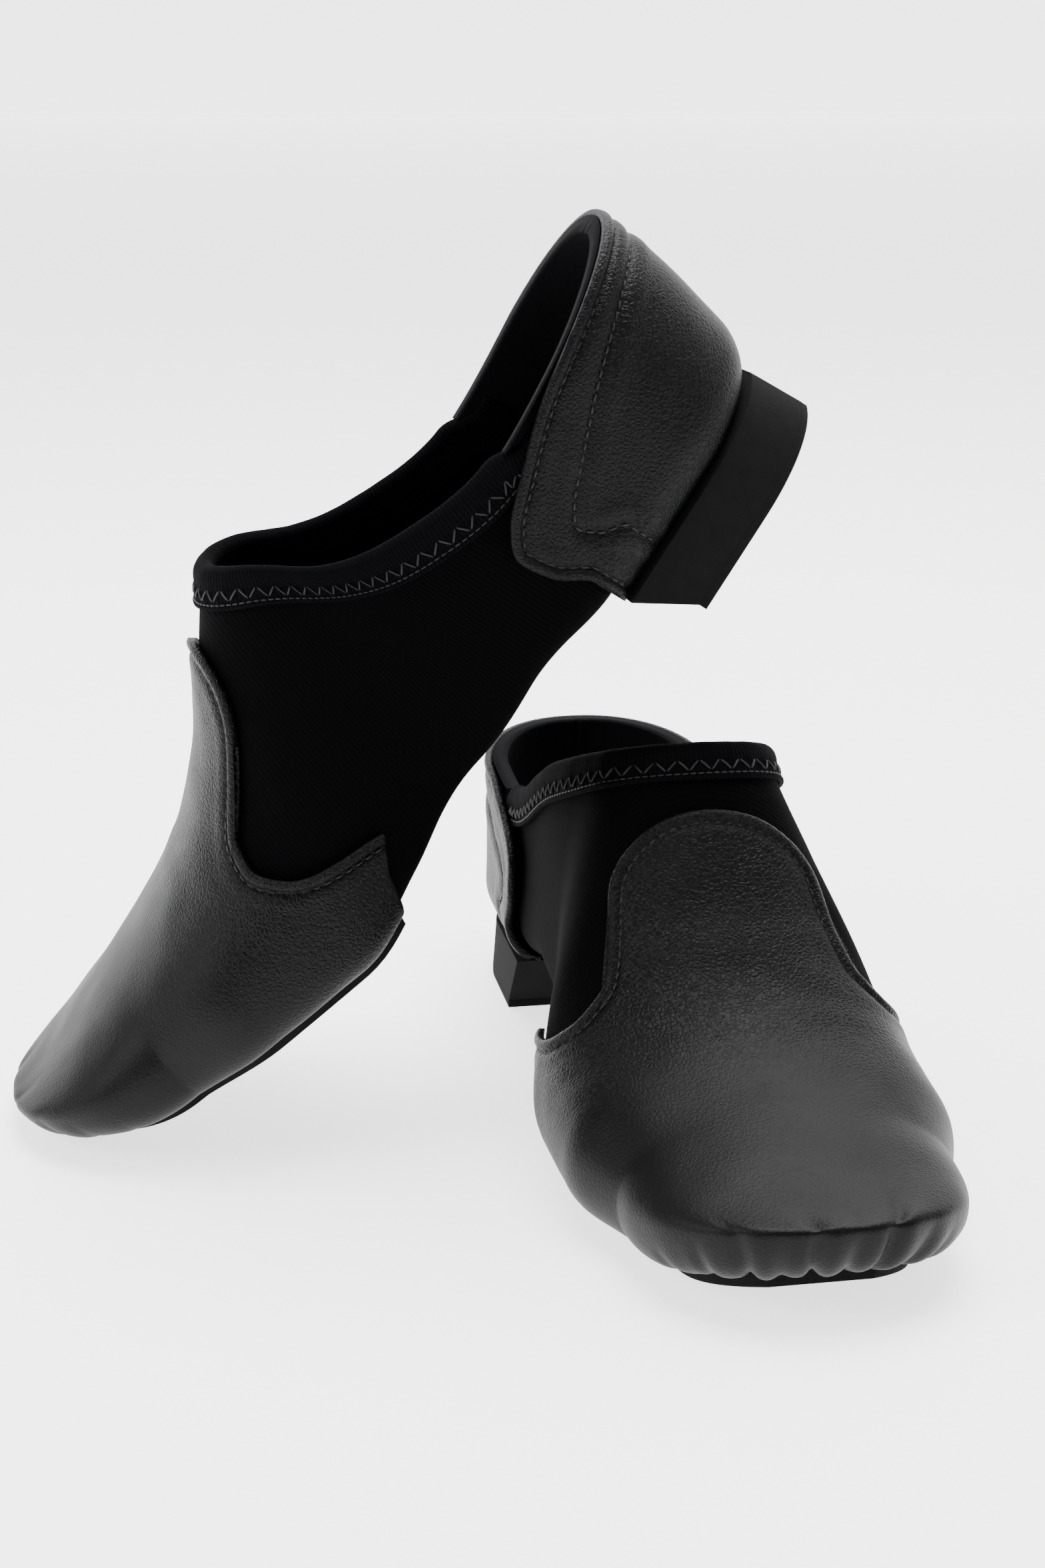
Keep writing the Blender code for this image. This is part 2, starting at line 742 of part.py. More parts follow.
def main():
    for old in list(bpy.data.objects):
        bpy.data.objects.remove(old)
    flat = make_shoe("right", 1.0, 0.0, FLAT_PLACE, (0.0, 0.0, FLAT_TURN))
    raised = make_shoe(
        "left", -1.0, RAISED_FLEX, RAISED_PLACE, (RAISED_ROLL, RAISED_PITCH, RAISED_TURN)
    )
    for root in (flat, raised):
        stand_on_floor(root)
    centre_pair((flat, raised))
    bpy.context.view_layer.update()


main()
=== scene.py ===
"""Looks for a pair of slip-on jazz shoes: leather, stretch cloth, knitted collar, stitching, soles and stage.

Laid out as an add-on and run as a script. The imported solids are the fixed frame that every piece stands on.
Each shoe is drawn as a right shoe in millimetres: X from heel to toe, Y towards the inner side, Z up. A place
on the last is a plan point (a, b): 0 is the ridge of the foot, one half width is the edge of the sole, and
anything beyond lies under the shoe.
"""

import json
import math

import bmesh
import bpy
import numpy as np
from mathutils import Euler, Matrix, Vector, noise


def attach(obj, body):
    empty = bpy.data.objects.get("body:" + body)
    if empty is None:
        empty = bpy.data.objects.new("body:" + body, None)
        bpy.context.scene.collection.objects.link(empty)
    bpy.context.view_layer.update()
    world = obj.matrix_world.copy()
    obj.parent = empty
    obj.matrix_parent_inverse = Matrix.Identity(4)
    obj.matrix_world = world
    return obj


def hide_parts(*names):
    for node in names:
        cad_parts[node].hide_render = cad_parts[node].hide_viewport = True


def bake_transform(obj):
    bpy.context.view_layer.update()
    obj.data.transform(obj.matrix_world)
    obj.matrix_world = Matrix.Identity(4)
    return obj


bl_info = {
    "name": "Slip-on jazz shoes",
    "version": (1, 0, 0),
    "blender": (4, 5, 0),
    "location": "View3D > Sidebar > Jazz shoes",
    "description": "Builds the leather, cloth, stitching and soles of a pair of jazz shoes, and their stage",
    "category": "Add Mesh",
}

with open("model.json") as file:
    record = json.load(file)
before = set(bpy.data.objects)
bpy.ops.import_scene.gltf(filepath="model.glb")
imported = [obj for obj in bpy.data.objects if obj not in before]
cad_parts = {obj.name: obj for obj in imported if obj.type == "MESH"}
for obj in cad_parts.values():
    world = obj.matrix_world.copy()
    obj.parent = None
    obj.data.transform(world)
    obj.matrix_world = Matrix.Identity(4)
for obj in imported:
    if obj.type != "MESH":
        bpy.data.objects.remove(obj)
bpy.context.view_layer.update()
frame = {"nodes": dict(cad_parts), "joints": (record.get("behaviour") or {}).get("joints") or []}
MM = 0.001

# The last, as in the part
SHOE_LENGTH = 250.0
HEEL_REACH = 30.0
TOE_REACH = 38.0
HEEL_HALF_WIDTH = 28.5
INNER_WAIST_HALF_WIDTH = 32.0
OUTER_WAIST_HALF_WIDTH = 30.0
INNER_BALL_HALF_WIDTH = 44.5
OUTER_BALL_HALF_WIDTH = 42.0
TOE_HALF_WIDTH = 36.0
TOE_HEIGHT = 26.8
TOE_CROWN = 1.0
BALL_HEIGHT = 44.0
INSTEP_HEIGHT = 92.0
HEEL_COLLAR_HEIGHT = 66.5
SIDE_COLLAR_HEIGHT = 60.0
TOE_SPRING = 8.0
ARCH_RISE = 8.0
HEEL_LEAN = 8.0
TOE_SWING = 3.0
EDGE_DROP = 9.0
EDGE_TUCK = 7.0
EDGE_LENGTH = 12.6

# Soles and insoles
HEEL_HEIGHT = 15.5
WEAR_LAYER = 2.0
HEEL_SLANT = 8.0
SOLE_THICKNESS = 2.6
SOLE_INSET = 7.0
BOARD_THICKNESS = 1.2
PAD_THICKNESS = 3.0
CLEARANCE = 0.5
FLOOR_GAP = 0.4
SOLE_GAP = 0.8

# Layers of the upper, as depths outwards from the last
LINING = (-2.8, -1.9)
SLEEVE = (-1.8, -0.7)
VAMP = (0.1, 1.3)
QUARTER = (1.5, 2.7)

# Places along the shoe, in millimetres from the back of the heel
WAIST = 0.46 * SHOE_LENGTH
WING = 0.56 * SHOE_LENGTH
THROAT = 0.536 * SHOE_LENGTH
TONGUE = 0.584 * SHOE_LENGTH
BALL = 0.76 * SHOE_LENGTH
COLLAR_SIDE = 0.20 * SHOE_LENGTH
HEEL_FRONT = 0.245 * SHOE_LENGTH
QUARTER_FRONT = 0.255 * SHOE_LENGTH
SLEEVE_BACK = 0.155 * SHOE_LENGTH
SLEEVE_FRONT = 0.74 * SHOE_LENGTH
SOLE_BACK = 0.60 * SHOE_LENGTH
FLEX = 0.40 * SHOE_LENGTH
FLEX_BACK = 0.30 * SHOE_LENGTH
FLEX_FRONT = 0.52 * SHOE_LENGTH
FLEX_HEIGHT = HEEL_HEIGHT + 2.0
TOE_CENTRE = SHOE_LENGTH - TOE_REACH

# Edges and seams: what is turned under, the collar band, and how far inside an edge its stitches run
MARGIN = 15.0
BAND_DEPTH = 8.0
SLEEVE_DROP = 2.2
COLLAR_TUCK = 4.5
COLLAR_TUCK_LENGTH = 9.0
EDGE_ROW = 2.9
STITCH_SINK = 0.28
ZIGZAG_DROPS = (3.2, 6.1)

# How each shoe stands: side, bend of the arch, and roll, pitch and yaw in degrees
STANCES = {
    "right": (1.0, 0.0, (0.0, 0.0, -79.6)),
    "left": (-1.0, 18.0, (-0.7, 38.4, 192.3)),
}
FLAT_PLACE = (0.016, -0.170)


# The last


class Curve:
    """A smooth curve through a few (place, value) pairs that never overshoots them."""

    def __init__(self, *pairs):
        self.x, self.y = np.array(pairs, float).T
        rises = np.diff(self.y) / np.diff(self.x)
        before, after = rises[:-1], rises[1:]
        total = np.where(before * after > 0.0, before + after, 1.0)
        inner = np.where(before * after > 0.0, 2.0 * before * after / total, 0.0)
        self.slopes = np.concatenate((rises[:1], inner, rises[-1:]))

    def __call__(self, x):
        x = np.clip(x, self.x[0], self.x[-1])
        i = np.clip(np.searchsorted(self.x, x, side="right") - 1, 0, len(self.x) - 2)
        step = self.x[i + 1] - self.x[i]
        t = (x - self.x[i]) / step
        near = (1.0 + 2.0 * t) * (1.0 - t) ** 2 * self.y[i] + t * t * (3.0 - 2.0 * t) * self.y[i + 1]
        return near + step * t * (1.0 - t) * ((1.0 - t) * self.slopes[i] - t * self.slopes[i + 1])


def mix(first, second, share):
    """The value, or the pair of values, at a share of the way between two."""
    if isinstance(first, tuple):
        return tuple(mix(a, b, share) for a, b in zip(first, second))
    return first + (second - first) * share


def ease(value):
    """0 below 0, 1 above 1 and an S curve between."""
    value = np.clip(value, 0.0, 1.0)
    return value * value * (3.0 - 2.0 * value)


def bump(distance, middle, width):
    """A smooth rise of height 1 at a distance."""
    return np.exp(-(((distance - middle) / width) ** 2))


def unit(vectors):
    return vectors / np.maximum(np.linalg.norm(vectors, axis=-1, keepdims=True), 1e-12)


HEEL_SEAT = HEEL_HEIGHT + FLOOR_GAP + QUARTER[1]
FRONT_SEAT = SOLE_THICKNESS + SOLE_GAP + VAMP[1]
INNER_WIDTH = Curve(
    (HEEL_REACH, HEEL_HALF_WIDTH),
    (WAIST, INNER_WAIST_HALF_WIDTH),
    (0.64 * SHOE_LENGTH, INNER_BALL_HALF_WIDTH),
    (BALL, INNER_BALL_HALF_WIDTH - 0.5),
    (TOE_CENTRE, TOE_HALF_WIDTH + 1.0),
)
OUTER_WIDTH = Curve(
    (HEEL_REACH, HEEL_HALF_WIDTH),
    (WAIST, OUTER_WAIST_HALF_WIDTH),
    (0.64 * SHOE_LENGTH, OUTER_BALL_HALF_WIDTH - 0.5),
    (BALL, OUTER_BALL_HALF_WIDTH),
    (TOE_CENTRE, TOE_HALF_WIDTH - 1.0),
)
RIDGE = Curve(
    (0.0, INSTEP_HEIGHT + 60.0),
    (0.30 * SHOE_LENGTH, INSTEP_HEIGHT + 56.0),
    (WAIST, INSTEP_HEIGHT + 20.0),
    (THROAT, INSTEP_HEIGHT),
    (0.592 * SHOE_LENGTH, INSTEP_HEIGHT - 16.0),
    (0.64 * SHOE_LENGTH, BALL_HEIGHT + 17.0),
    (0.72 * SHOE_LENGTH, BALL_HEIGHT),
    (0.82 * SHOE_LENGTH, mix(TOE_HEIGHT, BALL_HEIGHT, 0.36)),
    (0.912 * SHOE_LENGTH, TOE_HEIGHT),
    (SHOE_LENGTH, FRONT_SEAT + TOE_SPRING + EDGE_DROP + TOE_CROWN),
)
UNDERSIDE = Curve(
    (0.0, HEEL_SEAT),
    (HEEL_FRONT, HEEL_SEAT),
    (0.36 * SHOE_LENGTH, HEEL_SEAT + 0.6 * ARCH_RISE),
    (0.45 * SHOE_LENGTH, HEEL_SEAT + 0.3 * ARCH_RISE),
    (0.56 * SHOE_LENGTH, 0.5 * (HEEL_SEAT + FRONT_SEAT)),
    (0.66 * SHOE_LENGTH, FRONT_SEAT),
    (0.86 * SHOE_LENGTH, FRONT_SEAT),
    (SHOE_LENGTH, FRONT_SEAT + TOE_SPRING),
)
TOPLINE = Curve(
    (-HEEL_LEAN, HEEL_COLLAR_HEIGHT),
    (0.0, HEEL_COLLAR_HEIGHT - 1.5),
    (COLLAR_SIDE, SIDE_COLLAR_HEIGHT),
    (0.40 * SHOE_LENGTH, SIDE_COLLAR_HEIGHT + 0.6 * (INSTEP_HEIGHT - SIDE_COLLAR_HEIGHT)),
    (THROAT, INSTEP_HEIGHT),
)


def half_width_towards(centre, ahead, across):
    """The half width of a section in a direction given by its two parts."""
    width = np.where(across >= 0.0, INNER_WIDTH(centre), OUTER_WIDTH(centre))
    reach = np.where(ahead > 0.0, TOE_REACH, HEEL_REACH)
    return (np.abs(ahead / reach) ** 2.2 + np.abs(across / width) ** 2.2) ** (-1.0 / 2.2)


def roundness(centre):
    """The power of the section's superellipse: fuller at the heel and toe than over the instep."""
    rise = ease((centre - 0.26 * SHOE_LENGTH) / (0.30 * SHOE_LENGTH))
    return 2.3 - 0.3 * (rise - ease((centre - 0.62 * SHOE_LENGTH) / (0.16 * SHOE_LENGTH)))


def on_last(a, b):
    """The points of the last at plan coordinates."""
    a, b = np.broadcast_arrays(np.asarray(a, float), np.asarray(b, float))
    centre = np.clip(a, HEEL_REACH, TOE_CENTRE)
    length = np.hypot(a - centre, b)
    still = length < 1e-9
    safe = np.where(still, 1.0, length)
    ahead = np.where(still, 0.0, (a - centre) / safe)
    across = np.where(still, 1.0, b / safe)
    width = half_width_towards(centre, ahead, across)
    share = length / width
    power = 2.0 / roundness(centre)
    turn = np.clip(1.0 - share, 0.0, 1.0) * math.pi / 2.0
    out = width * np.maximum(np.cos(turn), 0.0) ** power
    under = np.maximum(share - 1.0, 0.0) * width
    roll = np.minimum(under / EDGE_LENGTH, 1.0) * math.pi / 2.0
    out = out - EDGE_TUCK * (1.0 - np.cos(roll)) - np.maximum(under - EDGE_LENGTH, 0.0)
    x = centre + out * ahead
    y = out * across
    z = UNDERSIDE(x) + EDGE_DROP * (1.0 - np.sin(roll))
    z = z + np.where(share < 1.0, np.sin(turn) ** power * (RIDGE(x) - z), 0.0)
    back = np.maximum(1.0 - x / (HEEL_REACH + 10.0), 0.0) ** 2
    x = x - back * HEEL_LEAN * np.sin(np.clip((z - HEEL_SEAT) / 50.0, 0.0, 1.0) * math.pi / 2.0)
    y = y + TOE_SWING * np.maximum((x - 0.48 * SHOE_LENGTH) / (0.52 * SHOE_LENGTH), 0.0) ** 2
    return np.stack((x, y, z), axis=-1)


def along_and_across(a, b):
    """How the points move for a step of 1 mm in a and in b."""
    step = 0.1
    run = (on_last(a + step, b) - on_last(a - step, b)) / (2.0 * step)
    cross = (on_last(a, b + step) - on_last(a, b - step)) / (2.0 * step)
    return run, cross


def outwards(a, b):
    """The directions that point out of the last."""
    return unit(np.cross(*along_and_across(a, b)))


def above_last(a, b, depth):
    """The points that stand the given depths outside the last."""
    return on_last(a, b) + np.asarray(depth)[..., None] * outwards(a, b)


def walk(a, b, heading, distance):
    """The plan points reached by walking over the last for a distance in directions in space."""
    legs = 4
    for _ in range(legs):
        run, cross = along_and_across(a, b)
        rr, rc, cc = ((p * q).sum(-1) for p, q in ((run, run), (run, cross), (cross, cross)))
        hr, hc = ((heading * p).sum(-1) for p in (run, cross))
        det = rr * cc - rc * rc
        da = (cc * hr - rc * hc) / det
        db = (rr * hc - rc * hr) / det
        pace = np.linalg.norm(run * da[..., None] + cross * db[..., None], axis=-1)
        a = a + da / pace * distance / legs
        b = b + db / pace * distance / legs
    return a, b


def station(place, side):
    """(centre, ahead, across, half width) at places along the sole's edge, from the heel's side."""
    straight = TOE_CENTRE - HEEL_REACH
    turn = np.where(place < 0.0, place / HEEL_REACH, np.maximum(place - straight, 0.0) / TOE_REACH)
    ahead = np.sin(turn)
    across = side * np.cos(turn)
    centre = np.clip(HEEL_REACH + place, HEEL_REACH, TOE_CENTRE)
    return centre, ahead, across, half_width_towards(centre, ahead, across + side * 1e-12)


HEEL_END = -HEEL_REACH * math.pi / 2.0
TOE_END = TOE_CENTRE - HEEL_REACH + TOE_REACH * math.pi / 2.0


def section_plan(place, side, share):
    """The plan points at shares of the half width of stations."""
    centre, ahead, across, width = station(place, side)
    return centre + ahead * width * share, across * width * share


def under_plan(place, side, distance):
    """The plan points at distances under the edge of the sole."""
    width = station(place, side)[3]
    return section_plan(place, side, 1.0 + distance / width)


def height_plan(place, side, height):
    """The plan points at which stations reach a height, given as a function of x."""
    centre, ahead, across, width = station(place, side)
    power = roundness(centre) / 2.0
    share = np.full(np.shape(place), 0.85)
    for _ in range(4):
        x = centre + ahead * width * np.cos((1.0 - share) * math.pi / 2.0) ** (1.0 / power)
        shoulder = UNDERSIDE(x) + EDGE_DROP
        rise = np.clip((height(x) - shoulder) / (RIDGE(x) - shoulder), 0.0, 1.0)
        share = 1.0 - np.arcsin(rise**power) / (math.pi / 2.0)
    return centre + ahead * width * share, across * width * share


def side_and_share(u):
    """u from 0 to 1 as (outer side or inner side, share from the middle of the row to its end)."""
    swing = 2.0 * u - 1.0
    return np.where(swing >= 0.0, 1.0, -1.0), np.abs(swing)


# The shoes' places in the frame


class Shoe:
    """One shoe's place: it turns millimetres of a right shoe into metres of the frame."""

    def __init__(self, name):
        self.name = name
        self.side, self.bend, turns = STANCES[name]
        self.turn = np.array(Euler([math.radians(turn) for turn in turns]).to_matrix())
        self.pivot = np.array((FLEX, 0.0, FLEX_HEIGHT))
        joint = next(j for j in frame["joints"] if j["name"] == name + "_arch_flex")
        self.origin = np.array(joint["pos_m"]) - self.turn @ self.pivot * MM

    def place(self, points, body):
        """Points of the shoe as points of the frame. body is forefoot, heel, or sleeve between them."""
        share = {"forefoot": 0.0, "heel": 1.0}.get(body)
        if share is None:
            share = ease((FLEX_FRONT - points[:, 0]) / (FLEX_FRONT - FLEX_BACK))
        angle = math.radians(self.bend) * share
        away = points - self.pivot
        x = away[:, 0] * np.cos(angle) + away[:, 2] * np.sin(angle)
        z = away[:, 2] * np.cos(angle) - away[:, 0] * np.sin(angle)
        bent = np.stack((x, away[:, 1], z), axis=-1) + self.pivot
        return self.origin + (bent * (1.0, self.side, 1.0) * MM) @ self.turn.T


SHOES = [Shoe(name) for name in STANCES]


def nearest(points, line):
    """(distance, place along the line) of the nearest point of a dense line to each point."""
    steps = np.linalg.norm(np.diff(line, axis=0), axis=1)
    run = np.concatenate(((0.0,), np.cumsum(steps)))
    away = np.empty(len(points))
    where = np.empty(len(points))
    for start in range(0, len(points), 4000):
        block = points[start : start + 4000]
        squares = ((block[:, None, :] - line[None, :, :]) ** 2).sum(-1)
        best = squares.argmin(1)
        away[start : start + 4000] = np.sqrt(squares[np.arange(len(block)), best])
        where[start : start + 4000] = run[best]
    return away, where


def ripple(points, size, seed=0.0):
    """Soft noise from -1 to 1 over points, with features of about the given size."""
    offset = Vector((seed, -seed, 0.5 * seed))
    return np.array([noise.noise(Vector(point) / size + offset) for point in points])


# Making pieces


def two_skins(columns, rows):
    """A flat sheet with two skins: u and v run from 0 to 1 in X and Y, and the skin is 0 or 1 in Z."""
    maker = bmesh.new()
    bmesh.ops.create_grid(maker, x_segments=columns, y_segments=rows, size=0.5)
    raised = bmesh.ops.extrude_face_region(maker, geom=maker.faces[:], use_keep_orig=True)
    top = [item for item in raised["geom"] if isinstance(item, bmesh.types.BMVert)]
    bmesh.ops.translate(maker, vec=(0.0, 0.0, 1.0), verts=top)
    bmesh.ops.translate(maker, vec=(0.5, 0.5, 0.0), verts=maker.verts)
    bmesh.ops.recalc_face_normals(maker, faces=maker.faces)
    return maker


def sheet_places(maker):
    """(u, v, skin) of a sheet's vertices."""
    u, v, skin = np.round(np.array([vert.co for vert in maker.verts], float), 6).T
    return u, v, skin


def join_seam(maker, reached):
    """Takes out the walls where v = 0 and v = 1 meet, beyond a place along u."""
    walls = []
    for face in maker.faces:
        rows = {round(vert.co.y, 6) for vert in face.verts}
        if len(rows) == 1 and rows <= {0.0, 1.0} and all(v.co.x > reached - 1e-4 for v in face.verts):
            walls.append(face)
    bmesh.ops.delete(maker, geom=walls, context="FACES_ONLY")


def add_piece(shoe, piece, maker, points, body, material, uv=None, marks=None):
    """Puts a bmesh's vertices at points of the shoe, and makes it a named piece, attached to its body unless
    the body is the sleeve, whose piece is left unattached in the frame.

    uv is a pair of arrays in metres, and marks names arrays that become attributes of the points.
    """
    for vert, point in zip(maker.verts, shoe.place(points, body)):
        vert.co = point
    maker.verts.index_update()
    name = shoe.name + "_" + piece
    mesh = bpy.data.meshes.new(name)
    if uv is not None:
        layer = maker.loops.layers.uv.new("Surface")
        for face in maker.faces:
            for loop in face.loops:
                index = loop.vert.index
                loop[layer].uv = (uv[0][index], uv[1][index])
    for mark, values in (marks or {}).items():
        layer = maker.verts.layers.float.new(mark)
        for vert, value in zip(maker.verts, values):
            vert[layer] = value
    bmesh.ops.remove_doubles(maker, verts=maker.verts, dist=1e-7)
    if maker.calc_volume(signed=True) < 0.0:
        bmesh.ops.reverse_faces(maker, faces=maker.faces)
    maker.to_mesh(mesh)
    maker.free()
    mesh.shade_smooth()
    mesh.materials.append(material)
    made = bpy.data.objects.new(name, mesh)
    bpy.context.scene.collection.objects.link(made)
    if body == "sleeve":
        start = shoe.place(np.array([(FLEX_FRONT, 0.0, FLEX_HEIGHT)]), "forefoot")[0]
        end = shoe.place(np.array([(FLEX_BACK, 0.0, FLEX_HEIGHT)]), "heel")[0]
        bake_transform(made)
    else:
        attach(made, shoe.name + "_" + body)
    return made


# The vamp

VAMP_EDGE_ALONG = Curve(
    (0.0, TONGUE - 1.0),
    (0.10, TONGUE - 0.9),
    (0.20, TONGUE + 0.4),
    (0.28, TONGUE + 3.8),
    (0.42, TONGUE + 12.0),
    (0.52, TONGUE + 20.0),
    (0.62, TONGUE + 21.5),
    (0.72, TONGUE + 17.5),
    (0.86, mix(TONGUE + 17.5, WING, 0.5)),
    (1.0, WING),
)
VAMP_EDGE_SHARE = Curve(
    (0.0, 0.0), (0.10, 0.17), (0.20, 0.32), (0.28, 0.39), (0.42, 0.415),
    (0.52, 0.47), (0.62, 0.58), (0.72, 0.71), (0.86, 0.85), (1.0, 0.94),
)

# Gathers at the toe: distance round the edge from the tip, depth, and how far up they reach
TOE_GATHERS = (
    (-41.0, 0.4, 5.0), (-29.5, 0.7, 7.0), (-20.0, 1.3, 9.5), (-12.5, 0.6, 6.0), (-5.0, 1.5, 10.5),
    (3.5, 1.0, 7.5), (11.0, 1.6, 11.0), (20.5, 0.9, 8.0), (28.0, 0.5, 6.0), (39.0, 0.6, 7.0),
)
GATHER_SHARES = {"right": 1.0, "left": 0.3}


def vamp_edge(share, side):
    """The plan points on the vamp's top edge."""
    return section_plan(VAMP_EDGE_ALONG(share) - HEEL_REACH, side, VAMP_EDGE_SHARE(share))


def rolled_edge(away, along_edge, pitch):
    """The relief of a turned edge: a bead, a stitched groove and the leather that puffs up beside it."""
    bead = 0.75 * np.sqrt(np.clip(1.0 - ((away - 1.15) / 1.2) ** 2, 0.0, 1.0))
    pull = 0.75 + 0.25 * np.cos(2.0 * math.pi * along_edge / pitch)
    groove = -0.5 * pull * bump(away, EDGE_ROW, 0.55)
    return bead + groove + 0.22 * bump(away, 5.2, 1.8)


def vamp_places(u, v, back, tuck):
    """The vamp's plan points, edge places and sides, with the turned-in margin below v = 0.14."""
    side, share = side_and_share(u)
    edge = mix(TOE_END, back - HEEL_REACH, share)
    turned = 0.14
    under = np.maximum(1.0 - v / turned, 0.0) * MARGIN
    start = under_plan(edge + tuck * share * under / MARGIN, side, under)
    climb = (1.0 - (1.0 - np.maximum(v - turned, 0.0) / (1.0 - turned)) ** 1.5) ** 1.3
    return mix(start, vamp_edge(share, side), climb), edge, side


def make_vamp(shoe, settings):
    maker = two_skins(268, 96)
    u, v, skin = sheet_places(maker)
    (a, b), edge, side = vamp_places(u, v, WING + 5.0, 6.0)
    base = on_last(a, b)
    shares = np.linspace(-1.0, 1.0, 900)
    line = on_last(*vamp_edge(np.abs(shares), np.sign(shares) + (shares == 0.0)))
    away, along_edge = nearest(base, line)
    relief = rolled_edge(away, along_edge, settings.stitch_pitch / MM)
    round_toe = side * (TOE_END - edge)
    rise = base[:, 2] - UNDERSIDE(base[:, 0])
    for spot, deepest, reach in TOE_GATHERS:
        depth = deepest * GATHER_SHARES[shoe.name]
        lean = spot + 0.12 * spot / 60.0 * rise
        fade = ease(1.35 - rise / reach)
        relief -= fade * depth * bump(round_toe, lean, 1.5)
        relief += fade * 0.45 * depth * bump(round_toe, lean + 4.0, 2.4)
    relief += 0.45 * ripple(base, 26.0) + 0.22 * ripple(base, 11.0, 7.0)
    pulls = ripple(np.stack((along_edge, 0.25 * away, 0.0 * away), axis=-1), 3.4, 3.0)
    relief += 0.22 * pulls * np.exp(-away / 6.0) * ease((away - 2.6) / 1.5)
    flex = np.exp(-(((base[:, 0] - 0.70 * SHOE_LENGTH) / 14.0) ** 2)) * ease((rise - 12.0) / 20.0)
    creases = np.stack((base[:, 0], 0.3 * base[:, 1], 0.6 * base[:, 2]), axis=-1)
    relief += 0.55 * flex * ripple(creases, 7.0, 11.0)
    depth = np.where(skin > 0.5, VAMP[1] + relief, VAMP[0] + 0.3 * np.minimum(relief, 0.0))
    points = above_last(a, b, depth)
    grain = 1.0 - 0.75 * ease((base[:, 0] - 0.66 * SHOE_LENGTH) / (0.16 * SHOE_LENGTH))
    piece = add_piece(
        shoe, "vamp_leather", maker, points, "forefoot", leather(settings), marks={"grain": grain}
    )
    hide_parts(shoe.name + "_vamp")


def stitch_line(shoe, piece, path, normals, pitch, thread, body, material, slant=0.0):
    """A row of short threads along a dense path of the shoe, sunk a little into the surface."""
    steps = np.linalg.norm(np.diff(path, axis=0), axis=1)
    run = np.concatenate(((0.0,), np.cumsum(steps)))
    count = max(int(run[-1] / pitch), 1)
    spots = (np.arange(count) + 0.5) * run[-1] / count
    centres = np.stack([np.interp(spots, run, path[:, k]) for k in range(3)], axis=-1)
    ahead = np.stack([np.interp(spots + 0.3, run, path[:, k]) for k in range(3)], axis=-1)
    behind = np.stack([np.interp(spots - 0.3, run, path[:, k]) for k in range(3)], axis=-1)
    ups = unit(np.stack([np.interp(spots, run, normals[:, k]) for k in range(3)], axis=-1))
    tangents = unit(ahead - behind)
    sides = unit(np.cross(ups, tangents))
    tangents = unit(tangents + slant * sides)
    sides = unit(np.cross(ups, tangents))
    maker = bmesh.new()
    template, local = stitch_template()
    points = []
    for centre, tangent, across, up in zip(centres, tangents, sides, ups):
        maker.from_mesh(template)
        points.append(centre + local @ np.stack((across * thread[1], up * thread[2], tangent * thread[0])))
    return add_piece(shoe, piece, maker, np.concatenate(points), body, material)


def template_mesh(maker):
    """(mesh, its points) of a small shape that is placed many times."""
    mesh = bpy.data.meshes.new("template")
    maker.to_mesh(mesh)
    maker.free()
    return mesh, np.array([vert.co for vert in mesh.vertices])


def stitch_template():
    """One stitch: a round thread's visible stretch, of unit size."""
    maker = bmesh.new()
    bmesh.ops.create_uvsphere(maker, u_segments=8, v_segments=6, radius=1.0)
    return template_mesh(maker)


def tube_template(stations):
    """A thin closed tube of unit radius, with a ring at each station from 0 to the last in Z."""
    maker = bmesh.new()
    bmesh.ops.create_cone(maker, cap_ends=True, segments=6, radius1=1.0, radius2=1.0, depth=stations - 1.0)
    sides = [edge for edge in maker.edges if abs(edge.verts[0].co.z - edge.verts[1].co.z) > 0.5]
    bmesh.ops.subdivide_edges(maker, edges=sides, cuts=stations - 2)
    bmesh.ops.translate(maker, vec=(0.0, 0.0, 0.5 * (stations - 1.0)), verts=maker.verts)
    return template_mesh(maker)


def offset_path(a, b, inward, distance, depth):
    """(points, outward directions) of a line a distance inside an edge given by its plan points."""
    if np.max(np.abs(distance)) > 0.0:
        a, b = walk(a, b, inward, distance)
    return above_last(a, b, np.full(np.shape(a), depth)), outwards(a, b)


def inward_of(a, b):
    """The direction that turns left from an edge's run, along the surface."""
    line = on_last(a, b)
    tangent = unit(np.gradient(line, axis=0))
    return unit(np.cross(outwards(a, b), tangent))


def seam_thread(settings):
    """Half the length, width and height of one visible stitch."""
    return (0.36 * settings.stitch_pitch / MM, 0.34, 0.26)


def make_vamp_stitches(shoe, settings):
    shares = np.linspace(-0.985, 0.985, 700)
    a, b = vamp_edge(np.abs(shares), np.sign(shares) + (shares == 0.0))
    inward = inward_of(a, b)
    if inward[350, 0] < 0.0:
        inward = -inward
    path, ups = offset_path(a, b, inward, EDGE_ROW, VAMP[1] - STITCH_SINK)
    thread = seam_thread(settings)
    stitch_line(
        shoe, "vamp_stitches", path, ups, settings.stitch_pitch / MM, thread, "forefoot",
        thread_material(settings),
    )


# The stretch sleeve


def collar_top(x):
    """The height of the collar's upper edge, which dips where it runs under the heel quarter."""
    return TOPLINE(x) - COLLAR_TUCK * ease((COLLAR_SIDE + 3.0 - x) / COLLAR_TUCK_LENGTH)


def throat_below(drop):
    """Where a line that runs a drop below the topline crosses the ridge of the foot."""
    low, high = THROAT, TONGUE
    for _ in range(30):
        middle = 0.5 * (low + high)
        above = RIDGE(middle) > TOPLINE(middle) - drop
        low, high = (middle, high) if above else (low, middle)
    return low


